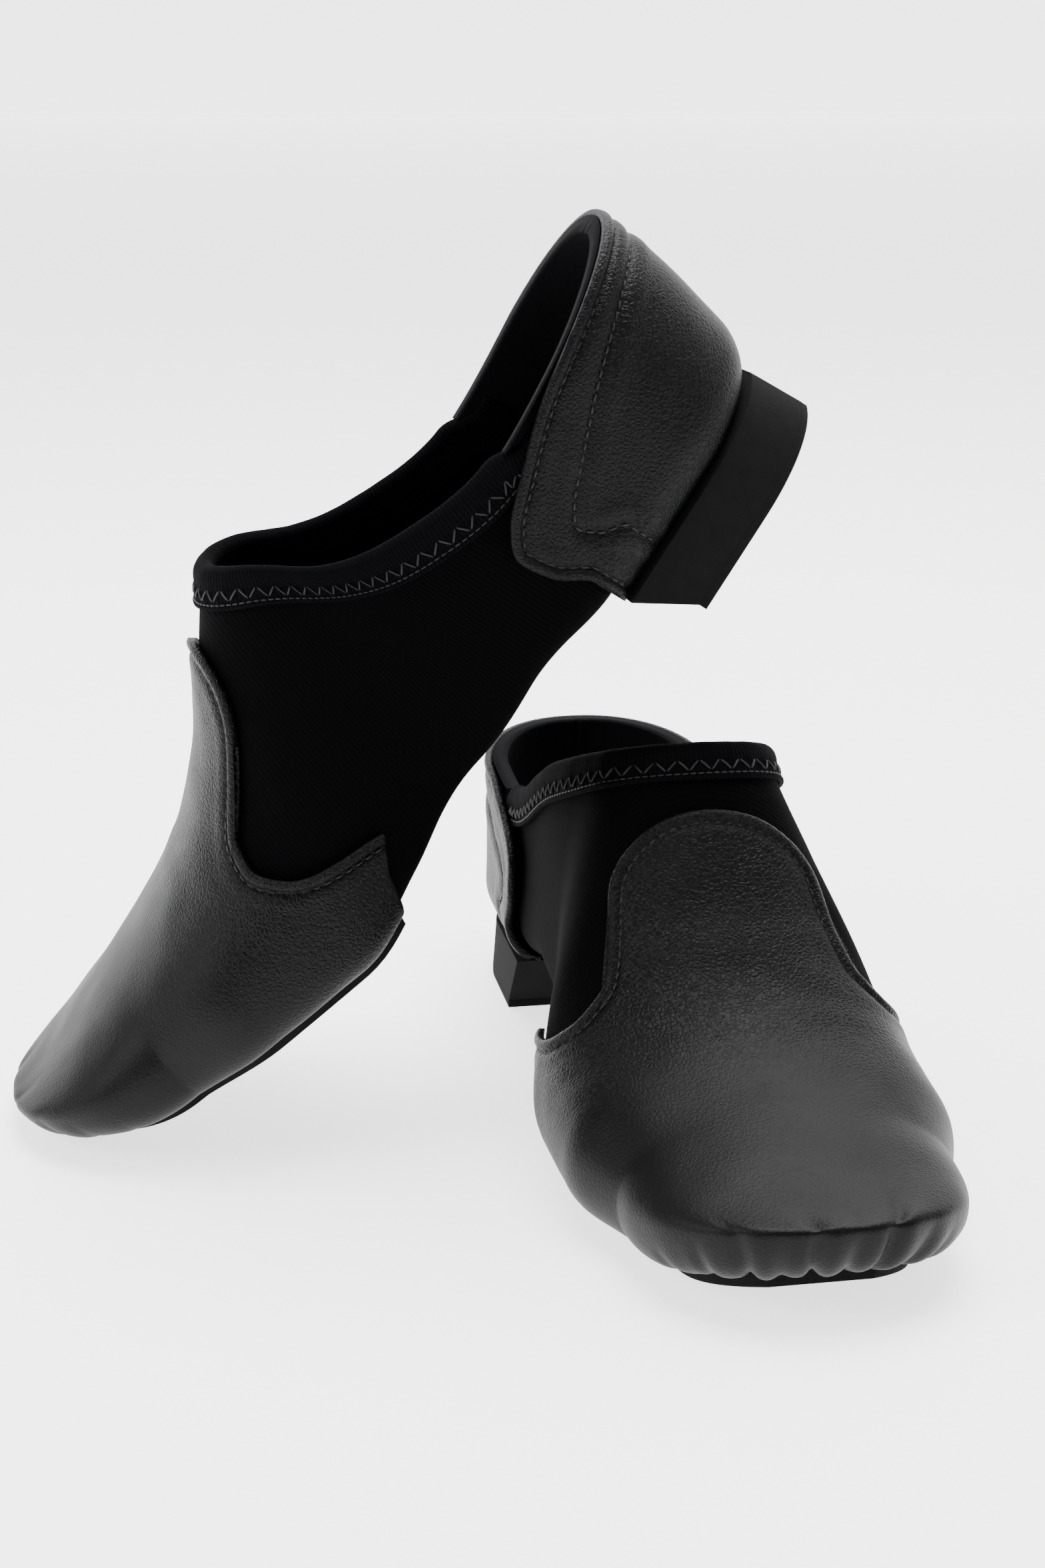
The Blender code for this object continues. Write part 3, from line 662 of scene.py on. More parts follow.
def make_sleeve(shoe, settings):
    columns, rows, open_columns = 150, 168, 90
    reached = open_columns / columns
    edge_row, roll_row = 6.0 / 14.0, 3.0 / 14.0
    throat = throat_below(SLEEVE_DROP)
    maker = two_skins(columns, rows)
    u, v, skin = sheet_places(maker)
    join_seam(maker, reached)
    side, climb = side_and_share(v)
    opened = u < reached
    back = mix(SLEEVE_BACK, throat, 1.0 - (1.0 - np.minimum(u / reached, 1.0)) ** 2)
    a = np.where(opened, back, mix(throat, SLEEVE_FRONT, np.maximum(u - reached, 0.0) / (1.0 - reached)))
    place = a - HEEL_REACH
    width = station(place, side)[3]
    deepest = EDGE_LENGTH + width - EDGE_TUCK
    low = mix(deepest, EDGE_LENGTH, np.minimum(climb / roll_row, 1.0))
    under = low * np.clip((edge_row - climb) / (edge_row - roll_row), 0.0, 1.0)
    below = under_plan(place, side, under)
    high = height_plan(place, side, lambda x: collar_top(x) - SLEEVE_DROP)
    top = tuple(np.where(opened, first, second) for first, second in zip(high, (a, 0.0 * a)))
    above = mix(section_plan(place, side, 1.0), top, np.maximum(climb - edge_row, 0.0) / (1.0 - edge_row))
    plan = tuple(np.where(climb < edge_row, first, second) for first, second in zip(below, above))
    base = on_last(*plan)
    relief = 0.5 * ripple(base, 30.0, 5.0)
    under_vamp = ease((base[:, 0] - WING + 8.0) / 10.0)
    relief *= 1.0 - 0.8 * under_vamp
    depth = np.where(skin > 0.5, SLEEVE[1] + relief, SLEEVE[0] + relief)
    points = above_last(*plan, depth)
    around = side * climb * 2.0 * np.where(opened, 90.0, 80.0)
    uv = (a * MM, around * MM)
    piece = add_piece(
        shoe, "sleeve_cloth", maker, points, "sleeve", stretch_cloth(settings), uv=uv
    )
    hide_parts(shoe.name + "_stretch_sleeve")


# The knitted collar


def collar_path(u):
    """The plan points on the topline, from the outer side round the throat to the inner side."""
    side, share = side_and_share(u)
    a = mix(THROAT, SLEEVE_BACK + 1.0, share**1.6)
    return height_plan(a - HEEL_REACH, side, collar_top)


def collar_down(u):
    """The directions that run down the collar, square to the topline."""
    step = 0.002
    before = on_last(*collar_path(np.maximum(u - step, 0.0)))
    after = on_last(*collar_path(np.minimum(u + step, 1.0)))
    return unit(np.cross(after - before, outwards(*collar_path(u))))


def collar_run(u):
    """How far along the topline each u is."""
    dense = np.linspace(0.0, 1.0, 500)
    steps = np.linalg.norm(np.diff(on_last(*collar_path(dense)), axis=0), axis=1)
    return np.interp(u, dense, np.concatenate(((0.0,), np.cumsum(steps))))


def on_collar(u, drop, depth):
    """(points, outward directions) on the band at drops below the topline."""
    plan = collar_path(u)
    down = collar_down(u)
    heading = np.where((drop > 0.0)[:, None], down, -down)
    plan = walk(*plan, heading, np.abs(drop) + 1e-6)
    return above_last(*plan, depth), outwards(*plan)


def make_binding(shoe, settings):
    inner, outer = (-3.4, -2.7), (-0.35, 0.75)
    middle = 0.5 * (inner[1] + outer[0])
    radii = (outer[0] - middle, outer[1] - middle)
    maker = two_skins(360, 44)
    u, v, skin = sheet_places(maker)
    leg = 0.3
    turn = np.clip((v - leg) / (1.0 - 2.0 * leg), 0.0, 1.0) * math.pi
    reach = np.maximum(np.maximum(1.0 - v / leg, 1.0 - (1.0 - v) / leg), 0.0)
    radius = np.where(skin > 0.5, radii[1], radii[0])
    drop = BAND_DEPTH * reach - radius * np.sin(turn)
    run = collar_run(u)
    outside = v < 0.5
    puffs = 0.28 * bump(drop, 1.0, 2.0) + 0.22 * bump(drop, 7.4, 0.5) - 0.2 * bump(drop, 6.6, 0.35)
    pitch = settings.zigzag_pitch / MM
    wave = 2.0 * np.abs((run / pitch) % 1.0 - 0.5)
    pull = bump(drop, 3.1 + 3.0 * wave, 0.7)
    relief = np.where(outside & (skin > 0.5), puffs - 0.22 * pull, 0.0)
    swell = 0.18 * ripple(np.stack((run, drop, 0.0 * run), axis=-1), 5.0, 2.0)
    depth = middle + radius * np.cos(turn) + relief + swell
    points, _ = on_collar(u, drop, depth)
    uv = (run * MM, (drop + 20.0 * np.where(outside, 0.0, 1.0)) * MM)
    piece = add_piece(
        shoe, "collar_band", maker, points, "sleeve", knit_band(settings), uv=uv
    )
    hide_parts(shoe.name + "_collar_binding")


def make_zigzag(shoe, settings):
    """The zigzag thread through the collar band, and the plain row along its lower edge."""
    pitch = settings.zigzag_pitch / MM
    dense = np.linspace(0.0, 1.0, 800)
    run = collar_run(dense)
    count = int(run[-1] / pitch) * 2
    corners = np.arange(count + 1) * run[-1] / count
    drops = np.where(np.arange(count + 1) % 2 == 0, *ZIGZAG_DROPS)
    maker = bmesh.new()
    spots = np.linspace(0.08, 0.92, 7)
    template, local = tube_template(len(spots))
    points = []
    for k in range(count):
        at = np.interp(mix(corners[k], corners[k + 1], spots), run, dense)
        drop = mix(drops[k], drops[k + 1], spots)
        lift = 0.62 + 0.25 * np.sin(np.pi * spots)
        path, ups = on_collar(at, drop, lift)
        maker.from_mesh(template)
        points.append(tube_points(local, path, ups, 0.26))
    thread = thread_material(settings)
    add_piece(shoe, "collar_zigzag", maker, np.concatenate(points), "sleeve", thread)
    dense = np.linspace(0.01, 0.99, 600)
    path, ups = on_collar(dense, np.full(len(dense), 6.8), np.full(len(dense), 0.68))
    stitch_line(
        shoe, "collar_edge_stitches", path, ups, 1.9, (0.8, 0.24, 0.2), "sleeve",
        thread_material(settings),
    )


def tube_points(local, path, ups, radius):
    """Where the tube template's points go along a path."""
    tangents = unit(np.gradient(path, axis=0))
    across = unit(np.cross(ups, tangents))
    lift = np.cross(tangents, across)
    at = np.round(local[:, 2]).astype(int)
    thick = np.where((at == 0) | (at == len(path) - 1), 0.55, 1.0) * radius
    return path[at] + (across[at] * local[:, :1] + lift[at] * local[:, 1:2]) * thick[:, None]


# The heel quarter


QUARTER_SLOPE = Curve(
    (0.0, QUARTER_FRONT - 2.0),
    (0.18, QUARTER_FRONT + 2.5),
    (0.38, QUARTER_FRONT + 3.5),
    (0.62, QUARTER_FRONT - 1.5),
    (0.85, COLLAR_SIDE + 3.0),
    (1.0, COLLAR_SIDE - 3.0),
)


def quarter_plan(side, share, climb, front, top, margin, turned):
    """Plan points of a panel round the heel: share runs from back to front edge, climb up from the seat."""
    edge = mix(HEEL_END, front(np.maximum(climb, 0.0)) - HEEL_REACH, share)
    below = under_plan(edge, side, margin * np.maximum(-climb, 0.0) / turned)
    above = mix(section_plan(edge, side, 1.0), height_plan(edge, side, top), np.maximum(climb, 0.0))
    return tuple(np.where(climb < 0.0, low, high) for low, high in zip(below, above))


def rounded_corner(share, climb):
    """Pulls in the panel's top front corner, so that its front edge flows into the topline."""
    up = np.maximum(climb, 0.0)
    return share * (1.0 - 0.06 * up**7), climb * (1.0 - 0.20 * share**9)


def round_quarter(steps, front, top, foot=0.6):
    """Plan points of a line from under the quarter's outer front over the heel to its inner one."""
    t = np.linspace(0.0, 1.0, steps)
    legs = 0.24
    side = np.where(t < 0.5, -1.0, 1.0)
    half = np.abs(2.0 * t - 1.0)
    share = np.minimum(half / (1.0 - 2.0 * legs), 1.0)
    climb = np.minimum((1.0 - half) / (2.0 * legs) * (1.0 + foot) - foot, 1.0)
    share, climb = rounded_corner(share, climb)
    return quarter_plan(side, share, climb, front, top, MARGIN, 1.0)


def quarter_edge(steps):
    """The quarter's free edge."""
    return round_quarter(steps, QUARTER_SLOPE, TOPLINE)


def inner_row(steps):
    """The second row of stitches, which closes on the edge towards the back."""
    def front(climb):
        return QUARTER_SLOPE(climb) - mix(15.0, 11.0, ease(climb))

    def top(x):
        return TOPLINE(x) - mix(7.5, 12.5, ease(x / COLLAR_SIDE))

    return round_quarter(steps, front, top)


def make_quarter(shoe, settings):
    turned = 0.16
    maker = two_skins(230, 90)
    u, v, skin = sheet_places(maker)
    side, share = side_and_share(u)
    share = 1.0 - (1.0 - share) ** 1.25
    climb = np.where(v < turned, v / turned - 1.0, 1.0 - (1.0 - (v - turned) / (1.0 - turned)) ** 1.35)
    share, climb = rounded_corner(share, climb)
    a, b = quarter_plan(side, share, climb, QUARTER_SLOPE, TOPLINE, MARGIN, 1.0)
    base = on_last(a, b)
    edge = quarter_edge(900)
    away, along_edge = nearest(base, on_last(*edge))
    relief = rolled_edge(away, along_edge, settings.stitch_pitch / MM)
    row = inner_row(900)
    row_away, _ = nearest(base, on_last(*row))
    relief -= 0.55 * bump(row_away, 0.0, 1.0)
    relief += 0.30 * bump(row_away, 3.6, 2.0)
    relief += 0.35 * ripple(base, 24.0, 1.0) + 0.16 * ripple(base, 9.0, 4.0)
    pulls = ripple(np.stack((along_edge, 0.25 * away, 0.0 * away), axis=-1), 3.2, 9.0)
    relief += 0.16 * pulls * np.exp(-away / 7.0) * ease((away - 2.6) / 1.5)
    depth = np.where(skin > 0.5, QUARTER[1] + relief, QUARTER[0])
    points = above_last(a, b, depth)
    grain = np.full(len(points), 0.8)
    piece = add_piece(
        shoe, "quarter_leather", maker, points, "heel", leather(settings), marks={"grain": grain}
    )
    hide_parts(shoe.name + "_heel_quarter")


def make_quarter_stitches(shoe, settings):
    pitch = settings.stitch_pitch / MM
    thread = seam_thread(settings)
    a, b = quarter_edge(900)
    inside = inward_of(a, b)
    inside = inside if inside[450, 2] < 0.0 else -inside
    keep = slice(6, -6)
    path, ups = offset_path(a[keep], b[keep], inside[keep], EDGE_ROW, QUARTER[1] - STITCH_SINK)
    stitch_line(
        shoe, "quarter_edge_stitches", path, ups, pitch, thread, "heel", thread_material(settings)
    )
    row = inner_row(900)
    path, ups = above_last(*row, np.full(900, QUARTER[1] - 0.38)), outwards(*row)
    stitch_line(
        shoe, "quarter_inner_stitches", path[keep], ups[keep], pitch, thread, "heel",
        thread_material(settings),
    )


# Linings


def make_heel_lining(shoe, settings):
    maker = two_skins(120, 50)
    u, v, skin = sheet_places(maker)
    side, share = side_and_share(u)
    turned = 0.2
    climb = np.where(v < turned, v / turned - 1.0, (v - turned) / (1.0 - turned))
    front = COLLAR_SIDE - 1.5
    a, b = quarter_plan(
        side, share, climb, lambda up: front + 0.0 * up, lambda x: TOPLINE(x) + 0.2, 0.6 * MARGIN, 1.0
    )
    base = on_last(a, b)
    seam = np.abs(base[:, 1])
    relief = -0.5 * bump(seam, 1.6, 0.9) + 0.5 * bump(seam, 0.0, 0.5)
    rim = np.maximum(climb, 0.0) ** 30
    depth = np.where(skin > 0.5, mix(LINING[1], QUARTER[0] - 0.1, rim), LINING[0] + relief)
    points = above_last(a, b, depth)
    uv = (share * side * 75.0 * MM, climb * 50.0 * MM)
    cloth = lining_cloth(settings)
    piece = add_piece(shoe, "heel_lining_cloth", maker, points, "heel", cloth, uv=uv)
    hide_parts(shoe.name + "_heel_lining")


def make_vamp_lining(shoe, settings):
    maker = two_skins(110, 50)
    u, v, skin = sheet_places(maker)
    side, share = side_and_share(u)
    turned = 0.2
    front = SLEEVE_FRONT + 1.5
    edge = mix(TOE_END, front + 1.0 - HEEL_REACH, share)
    under = np.maximum(1.0 - v / turned, 0.0) * 0.6 * MARGIN
    start = under_plan(edge, side, under)
    climb = (np.maximum(v - turned, 0.0) / (1.0 - turned)) ** 1.3
    a, b = mix(start, section_plan(np.full(len(u), front - HEEL_REACH), side, 0.98 * share), climb)
    depth = np.where(skin > 0.5, LINING[1], LINING[0])
    points = above_last(a, b, depth)
    uv = (share * side * 130.0 * MM, climb * 60.0 * MM)
    piece = add_piece(
        shoe, "vamp_lining_cloth", maker, points, "forefoot", lining_cloth(settings), uv=uv
    )
    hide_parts(shoe.name + "_vamp_lining")


# Soles, heel and insole


def plate_half_width(x, side, inset):
    centre = np.clip(x, HEEL_REACH, TOE_CENTRE)
    reach = np.where(x < centre, HEEL_REACH, TOE_REACH) - inset
    round_off = np.maximum(1.0 - (np.abs(x - centre) / reach) ** 2.2, 0.0) ** (1.0 / 2.2)
    return (np.where(side > 0.0, INNER_WIDTH(centre), OUTER_WIDTH(centre)) - inset) * round_off


BLUNT = 0.94


def heel_end(inset):
    return HEEL_REACH - BLUNT * (HEEL_REACH - inset)


def toe_end(inset):
    return TOE_CENTRE + BLUNT * (TOE_REACH - inset)


def plate_points(u, v, skin, start, end, insets, heights, toe, crown=0.0):
    """Points of a flat piece. start, end, insets and heights are pairs: underside, top side."""
    spread = np.sin(u * math.pi / 2.0) if toe else 1.0 - np.cos(u * math.pi / 2.0)
    x = mix(mix(start[0], start[1], skin), mix(end[0], end[1], skin), spread)
    inset = mix(insets[0], insets[1], skin)
    inner, outer = (plate_half_width(x, side, inset) for side in (np.ones(len(x)), -np.ones(len(x))))
    spring = TOE_SWING * np.maximum((x - 0.48 * SHOE_LENGTH) / (0.52 * SHOE_LENGTH), 0.0) ** 2
    y = mix(-outer, inner, v) + spring
    z = mix(heights[0](x), heights[1](x), skin)
    z = z + crown * skin * 16.0 * u * (1.0 - u) * v * (1.0 - v)
    return np.stack((x, y, z), axis=-1)


def soften(maker, points, width, segments):
    """Puts the points in place and rounds every sharp edge, and gives the new points."""
    for vert, point in zip(maker.verts, points):
        vert.co = point
    maker.normal_update()
    sharp = [e for e in maker.edges if len(e.link_faces) == 2 and e.calc_face_angle(0.0) > math.radians(42.0)]
    bmesh.ops.bevel(
        maker, geom=sharp, offset=width, offset_type="OFFSET", affect="EDGES", segments=segments,
        profile=0.5, material=-1, clamp_overlap=True,
    )
    return np.array([vert.co for vert in maker.verts])


def make_plate(shoe, piece, node, body, material, shape, width):
    columns, rows = 48, 30
    maker = two_skins(columns, rows)
    u, v, skin = sheet_places(maker)
    points = soften(maker, plate_points(u, v, skin, **shape), width, 3)
    made = add_piece(shoe, piece, maker, points, body, material)
    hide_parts(shoe.name + "_" + node)


def flat(height):
    """A height above the floor, as a function of x."""
    return lambda x: 0.0 * x + height


def level(height):
    """A height above the underside of the last, as a function of x."""
    return lambda x: UNDERSIDE(x) + height


def make_soles(shoe, settings):
    nap = suede(settings)
    top = -VAMP[1] - SOLE_GAP
    front = {
        "start": (SOLE_BACK,) * 2, "end": (toe_end(SOLE_INSET + 4.0),) * 2,
        "insets": (SOLE_INSET + 3.5, SOLE_INSET + 3.0),
        "heights": (level(top - SOLE_THICKNESS), level(top + 0.7)), "toe": True,
    }
    make_plate(shoe, "forefoot_sole_suede", "front_sole", "forefoot", nap, front, 0.5)
    flare = -1.0
    backs = (heel_end(flare), heel_end(0.0))
    low_front = HEEL_FRONT - HEEL_SLANT
    block = {
        "start": backs, "end": (low_front, HEEL_FRONT), "insets": (flare, 0.0),
        "heights": (flat(WEAR_LAYER + 0.05), flat(HEEL_HEIGHT + 0.35)), "toe": False,
    }
    make_plate(shoe, "heel_block_suede", "heel_block", "heel", nap, block, 0.6)
    wear = {
        "start": (backs[0],) * 2, "end": (low_front,) * 2, "insets": (flare,) * 2,
        "heights": (flat(0.0), flat(WEAR_LAYER)), "toe": False,
    }
    make_plate(shoe, "heel_wear_suede", "heel_wear_layer", "heel", nap, wear, 0.35)


def make_insoles(shoe, settings):
    low = -LINING[0] + CLEARANCE
    pad = low + BOARD_THICKNESS + 0.2
    sock = sock_cloth(settings)
    heel = {
        "start": (heel_end(8.5),) * 2, "end": (HEEL_FRONT,) * 2, "insets": (8.5, 8.5),
        "heights": (level(pad), level(pad + PAD_THICKNESS)), "toe": False, "crown": 0.8,
    }
    make_plate(shoe, "heel_sock_pad", "heel_pad", "heel", sock, heel, 0.9)
    front = {
        "start": (SOLE_BACK - 4.0,) * 2, "end": (toe_end(10.5),) * 2, "insets": (10.5, 10.5),
        "heights": (level(pad), level(pad + PAD_THICKNESS)), "toe": True, "crown": 0.8,
    }
    make_plate(shoe, "forefoot_sock_pad", "forefoot_pad", "forefoot", sock, front, 0.9)
    fibre = fibre_board(settings)
    for node in ("forefoot_board", "heel_board", "heel_stiffener"):
        solid = frame["nodes"][shoe.name + "_" + node]
        solid.data.materials.clear()
        solid.data.materials.append(fibre)


# Materials


def add_node(tree, kind, settings=None, **inputs):
    """Adds a node, sets its properties, and sets or links its inputs by name."""
    made = tree.nodes.new(kind)
    for key, value in (settings or {}).items():
        setattr(made, key, value)
    for key, value in inputs.items():
        numbered = key[0] == "i" and key[1:].isdigit()
        socket = made.inputs[int(key[1:]) if numbered else key.replace("_", " ")]
        if isinstance(value, bpy.types.NodeSocket):
            tree.links.new(value, socket)
        else:
            socket.default_value = value
    return made


def maths(tree, operation, first, second=0.0, clamp=False):
    made = add_node(tree, "ShaderNodeMath", {"operation": operation, "use_clamp": clamp}, i0=first, i1=second)
    return made.outputs[0]


def new_group(name, inputs, outputs):
    """(group, its input sockets, its output node), with named inputs and outputs."""
    group = bpy.data.node_groups.new(name, "ShaderNodeTree")
    for label, kind in inputs:
        group.interface.new_socket(label, in_out="INPUT", socket_type=kind)
    for label, kind in outputs:
        group.interface.new_socket(label, in_out="OUTPUT", socket_type=kind)
    entry = group.nodes.new("NodeGroupInput")
    leave = group.nodes.new("NodeGroupOutput")
    return group, entry.outputs, leave


FLOAT = "NodeSocketFloat"
VECTOR = "NodeSocketVector"


def pebbled_grain():
    """Leather grain: small rounded pebbles with fine furrows, over larger soft mottling."""
    found = bpy.data.node_groups.get("Pebbled grain")
    if found:
        return found
    group, given, leave = new_group(
        "Pebbled grain", [("Vector", VECTOR), ("Cell", FLOAT)], [("Height", FLOAT), ("Mottle", FLOAT)]
    )
    scale = maths(group, "DIVIDE", 1.0, given["Cell"])
    half = maths(group, "MULTIPLY", scale, 0.45)
    warp = add_node(group, "ShaderNodeTexNoise", Vector=given["Vector"], Scale=half, Detail=2.0)
    shift = add_node(
        group, "ShaderNodeVectorMath", {"operation": "SCALE"}, i0=warp.outputs["Color"],
        i3=maths(group, "MULTIPLY", given["Cell"], 1.1),
    )
    moved = add_node(
        group, "ShaderNodeVectorMath", {"operation": "ADD"}, i0=given["Vector"], i1=shift.outputs[0]
    )
    cells = add_node(
        group, "ShaderNodeTexVoronoi", {"feature": "DISTANCE_TO_EDGE"}, Vector=moved.outputs[0], Scale=scale
    )
    smooth = {"interpolation_type": "SMOOTHSTEP"}
    furrow = add_node(group, "ShaderNodeMapRange", smooth, Value=cells.outputs[0])
    furrow.inputs["From Max"].default_value = 0.28
    fine = add_node(
        group, "ShaderNodeTexNoise", Vector=given["Vector"],
        Scale=maths(group, "MULTIPLY", scale, 2.6), Detail=3.0,
    )
    height = maths(group, "ADD", furrow.outputs[0], maths(group, "MULTIPLY", fine.outputs[0], 0.35))
    group.links.new(height, leave.inputs["Height"])
    mottle = add_node(
        group, "ShaderNodeTexNoise", Vector=given["Vector"],
        Scale=maths(group, "MULTIPLY", scale, 0.09), Detail=5.0,
    )
    group.links.new(mottle.outputs[0], leave.inputs["Mottle"])
    return group


def knit_ribs():
    """Knitted cloth: ribs across a surface map in metres, each broken into small stitches."""
    found = bpy.data.node_groups.get("Knit ribs")
    if found:
        return found
    group, given, leave = new_group(
        "Knit ribs", [("Vector", VECTOR), ("Rib", FLOAT), ("Stitch", FLOAT)],
        [("Height", FLOAT), ("Fuzz", FLOAT)],
    )
    parts = add_node(group, "ShaderNodeSeparateXYZ", Vector=given["Vector"])
    waves = []
    for axis, pitch in ((0, "Rib"), (1, "Stitch")):
        turns = maths(group, "DIVIDE", parts.outputs[axis], given[pitch])
        wave = maths(group, "SINE", maths(group, "MULTIPLY", turns, 2.0 * math.pi))
        waves.append(maths(group, "MULTIPLY_ADD", wave, 0.5))
    for wave in waves:
        wave.node.inputs[2].default_value = 0.5
    ribs = maths(group, "MULTIPLY", waves[0], 0.75)
    stitches = maths(group, "MULTIPLY", waves[1], 0.25)
    woven = maths(group, "ADD", ribs, stitches)
    fuzz = add_node(
        group, "ShaderNodeTexNoise", Vector=given["Vector"], Scale=maths(group, "DIVIDE", 0.9, given["Rib"]),
        Detail=6.0,
    )
    height = maths(group, "ADD", woven, maths(group, "MULTIPLY", fuzz.outputs[0], 0.6))
    group.links.new(height, leave.inputs["Height"])
    group.links.new(fuzz.outputs[0], leave.inputs["Fuzz"])
    return group


def suede_nap():
    """Napped suede: very fine fibres, in patches that are brushed lighter or darker."""
    found = bpy.data.node_groups.get("Suede nap")
    if found:
        return found
    group, given, leave = new_group(
        "Suede nap", [("Vector", VECTOR), ("Fibre", FLOAT)], [("Height", FLOAT), ("Brushed", FLOAT)]
    )
    scale = maths(group, "DIVIDE", 1.0, given["Fibre"])
    fibres = add_node(
        group, "ShaderNodeTexNoise", Vector=given["Vector"], Scale=scale, Detail=6.0, Roughness=0.75
    )
    patches = add_node(
        group, "ShaderNodeTexNoise", Vector=given["Vector"],
        Scale=maths(group, "MULTIPLY", scale, 0.12), Detail=3.0,
    )
    group.links.new(fibres.outputs[0], leave.inputs["Height"])
    brushed = maths(group, "MULTIPLY", fibres.outputs[0], patches.outputs[0])
    group.links.new(brushed, leave.inputs["Brushed"])
    return group


def new_material(name):
    """(material, node tree, Principled shader) of a new material."""
    made = bpy.data.materials.new(name)
    made.use_nodes = True
    return made, made.node_tree, made.node_tree.nodes["Principled BSDF"]


def object_places(tree):
    return tree.nodes.new("ShaderNodeTexCoord").outputs["Object"]


def surface_places(tree):
    return add_node(tree, "ShaderNodeUVMap", {"uv_map": "Surface"}).outputs["UV"]


def use_group(tree, group, **inputs):
    return add_node(tree, "ShaderNodeGroup", {"node_tree": group}, **inputs).outputs


def two_tones(tree, factor, low, high):
    """A colour between two, chosen by a mask."""
    made = add_node(tree, "ShaderNodeMix", {"data_type": "RGBA"}, i0=factor, i6=(*low, 1.0), i7=(*high, 1.0))
    return made.outputs[2]


def scaled(colour, factor):
    return tuple(channel * factor for channel in colour)


def leather(settings):
    found = bpy.data.materials.get("Black leather")
    if found:
        return found
    made, tree, shader = new_material("Black leather")
    colour = tuple(settings.leather_colour)
    grain = use_group(tree, pebbled_grain(), Vector=object_places(tree), Cell=settings.grain_size)
    strength = add_node(tree, "ShaderNodeAttribute", {"attribute_name": "grain"}).outputs["Fac"]
    height = maths(tree, "MULTIPLY", grain["Height"], strength)
    relief = add_node(tree, "ShaderNodeBump", Height=height, Strength=0.8, Distance=0.00016)
    tree.links.new(relief.outputs[0], shader.inputs["Normal"])
    tones = two_tones(tree, grain["Mottle"], scaled(colour, 0.75), scaled(colour, 1.35))
    tree.links.new(tones, shader.inputs["Base Color"])
    rough = add_node(tree, "ShaderNodeMapRange", Value=grain["Mottle"])
    rough.inputs["To Min"].default_value = settings.leather_roughness - 0.05
    rough.inputs["To Max"].default_value = settings.leather_roughness + 0.09
    tree.links.new(rough.outputs[0], shader.inputs["Roughness"])
    shader.inputs["IOR"].default_value = 1.2
    return made


def napped_material(name, colour, fibre, mask, tones, relief, roughness, specular=0.5):
    """A material with the nap group's fibres, coloured between two tones of one colour."""
    found = bpy.data.materials.get(name)
    if found:
        return found
    made, tree, shader = new_material(name)
    nap = use_group(tree, suede_nap(), Vector=object_places(tree), Fibre=fibre)
    low, high = (scaled(tuple(colour), tone) for tone in tones)
    tree.links.new(two_tones(tree, nap[mask], low, high), shader.inputs["Base Color"])
    if relief is not None:
        strength, distance = relief
        bumps = add_node(tree, "ShaderNodeBump", Height=nap["Height"], Strength=strength, Distance=distance)
        tree.links.new(bumps.outputs[0], shader.inputs["Normal"])
    shader.inputs["Roughness"].default_value = roughness
    shader.inputs["Specular IOR Level"].default_value = specular
    return made


def thread_material(settings):
    return napped_material(
        "Black thread", settings.thread_colour, 0.0004, "Height", (0.7, 1.4), (0.5, 0.00008), 0.6, 0.35
    )


def cloth_material(name, colour, rib, stitch, depth, painted_crest_light_and_fuzz_gain, specular):
    """A knitted cloth with ribs across its surface map. Its colour is darker in the rib grooves, which is
    painted shade, and lighter on the rib crests, which is painted highlight, with random fuzz tone mixed in.
    """
    made, tree, shader = new_material(name)
    knit = use_group(tree, knit_ribs(), Vector=surface_places(tree), Rib=rib, Stitch=stitch)
    relief = add_node(tree, "ShaderNodeBump", Height=knit["Height"], Strength=0.7, Distance=depth)
    tree.links.new(relief.outputs[0], shader.inputs["Normal"])
    # Colour follows the rib height: painted shade in the grooves, painted highlight on the crests, plus
    # random fuzz tone
    tones = two_tones(tree, knit["Height"], scaled(colour, 0.6), scaled(colour, painted_crest_light_and_fuzz_gain))
    tree.links.new(tones, shader.inputs["Base Color"])
    shader.inputs["Roughness"].default_value = 0.92
    shader.inputs["IOR"].default_value = 1.2
    shader.inputs["Specular IOR Level"].default_value = specular
    return made


def stretch_cloth(settings):
    found = bpy.data.materials.get("Stretch cloth")
    colour = tuple(settings.cloth_colour)
    return found or cloth_material("Stretch cloth", colour, 0.0011, 0.0007, 0.00012, 1.5, 0.12)


def knit_band(settings):
    found = bpy.data.materials.get("Knitted band")
    colour = tuple(settings.band_colour)
    return found or cloth_material("Knitted band", colour, 0.0010, 0.0013, 0.00022, 1.8, 0.12)


def lining_cloth(settings):
    found = bpy.data.materials.get("Lining cloth")
    colour = tuple(settings.lining_colour)
    return found or cloth_material("Lining cloth", colour, 0.0006, 0.0006, 0.00008, 1.4, 0.25)


def suede(settings):
    return napped_material(
        "Napped suede", settings.suede_colour, 0.0005, "Brushed", (0.4, 3.0), (0.8, 0.0004), 0.95, 0.15
    )


def sock_cloth(settings):
    return napped_material(
        "Sock cloth", settings.lining_colour, 0.0008, "Brushed", (0.7, 2.4), (0.6, 0.0002), 0.9
    )


def fibre_board(settings):
    return napped_material("Fibre board", settings.board_colour, 0.0016, "Brushed", (0.7, 1.6), None, 0.85)


# Stage


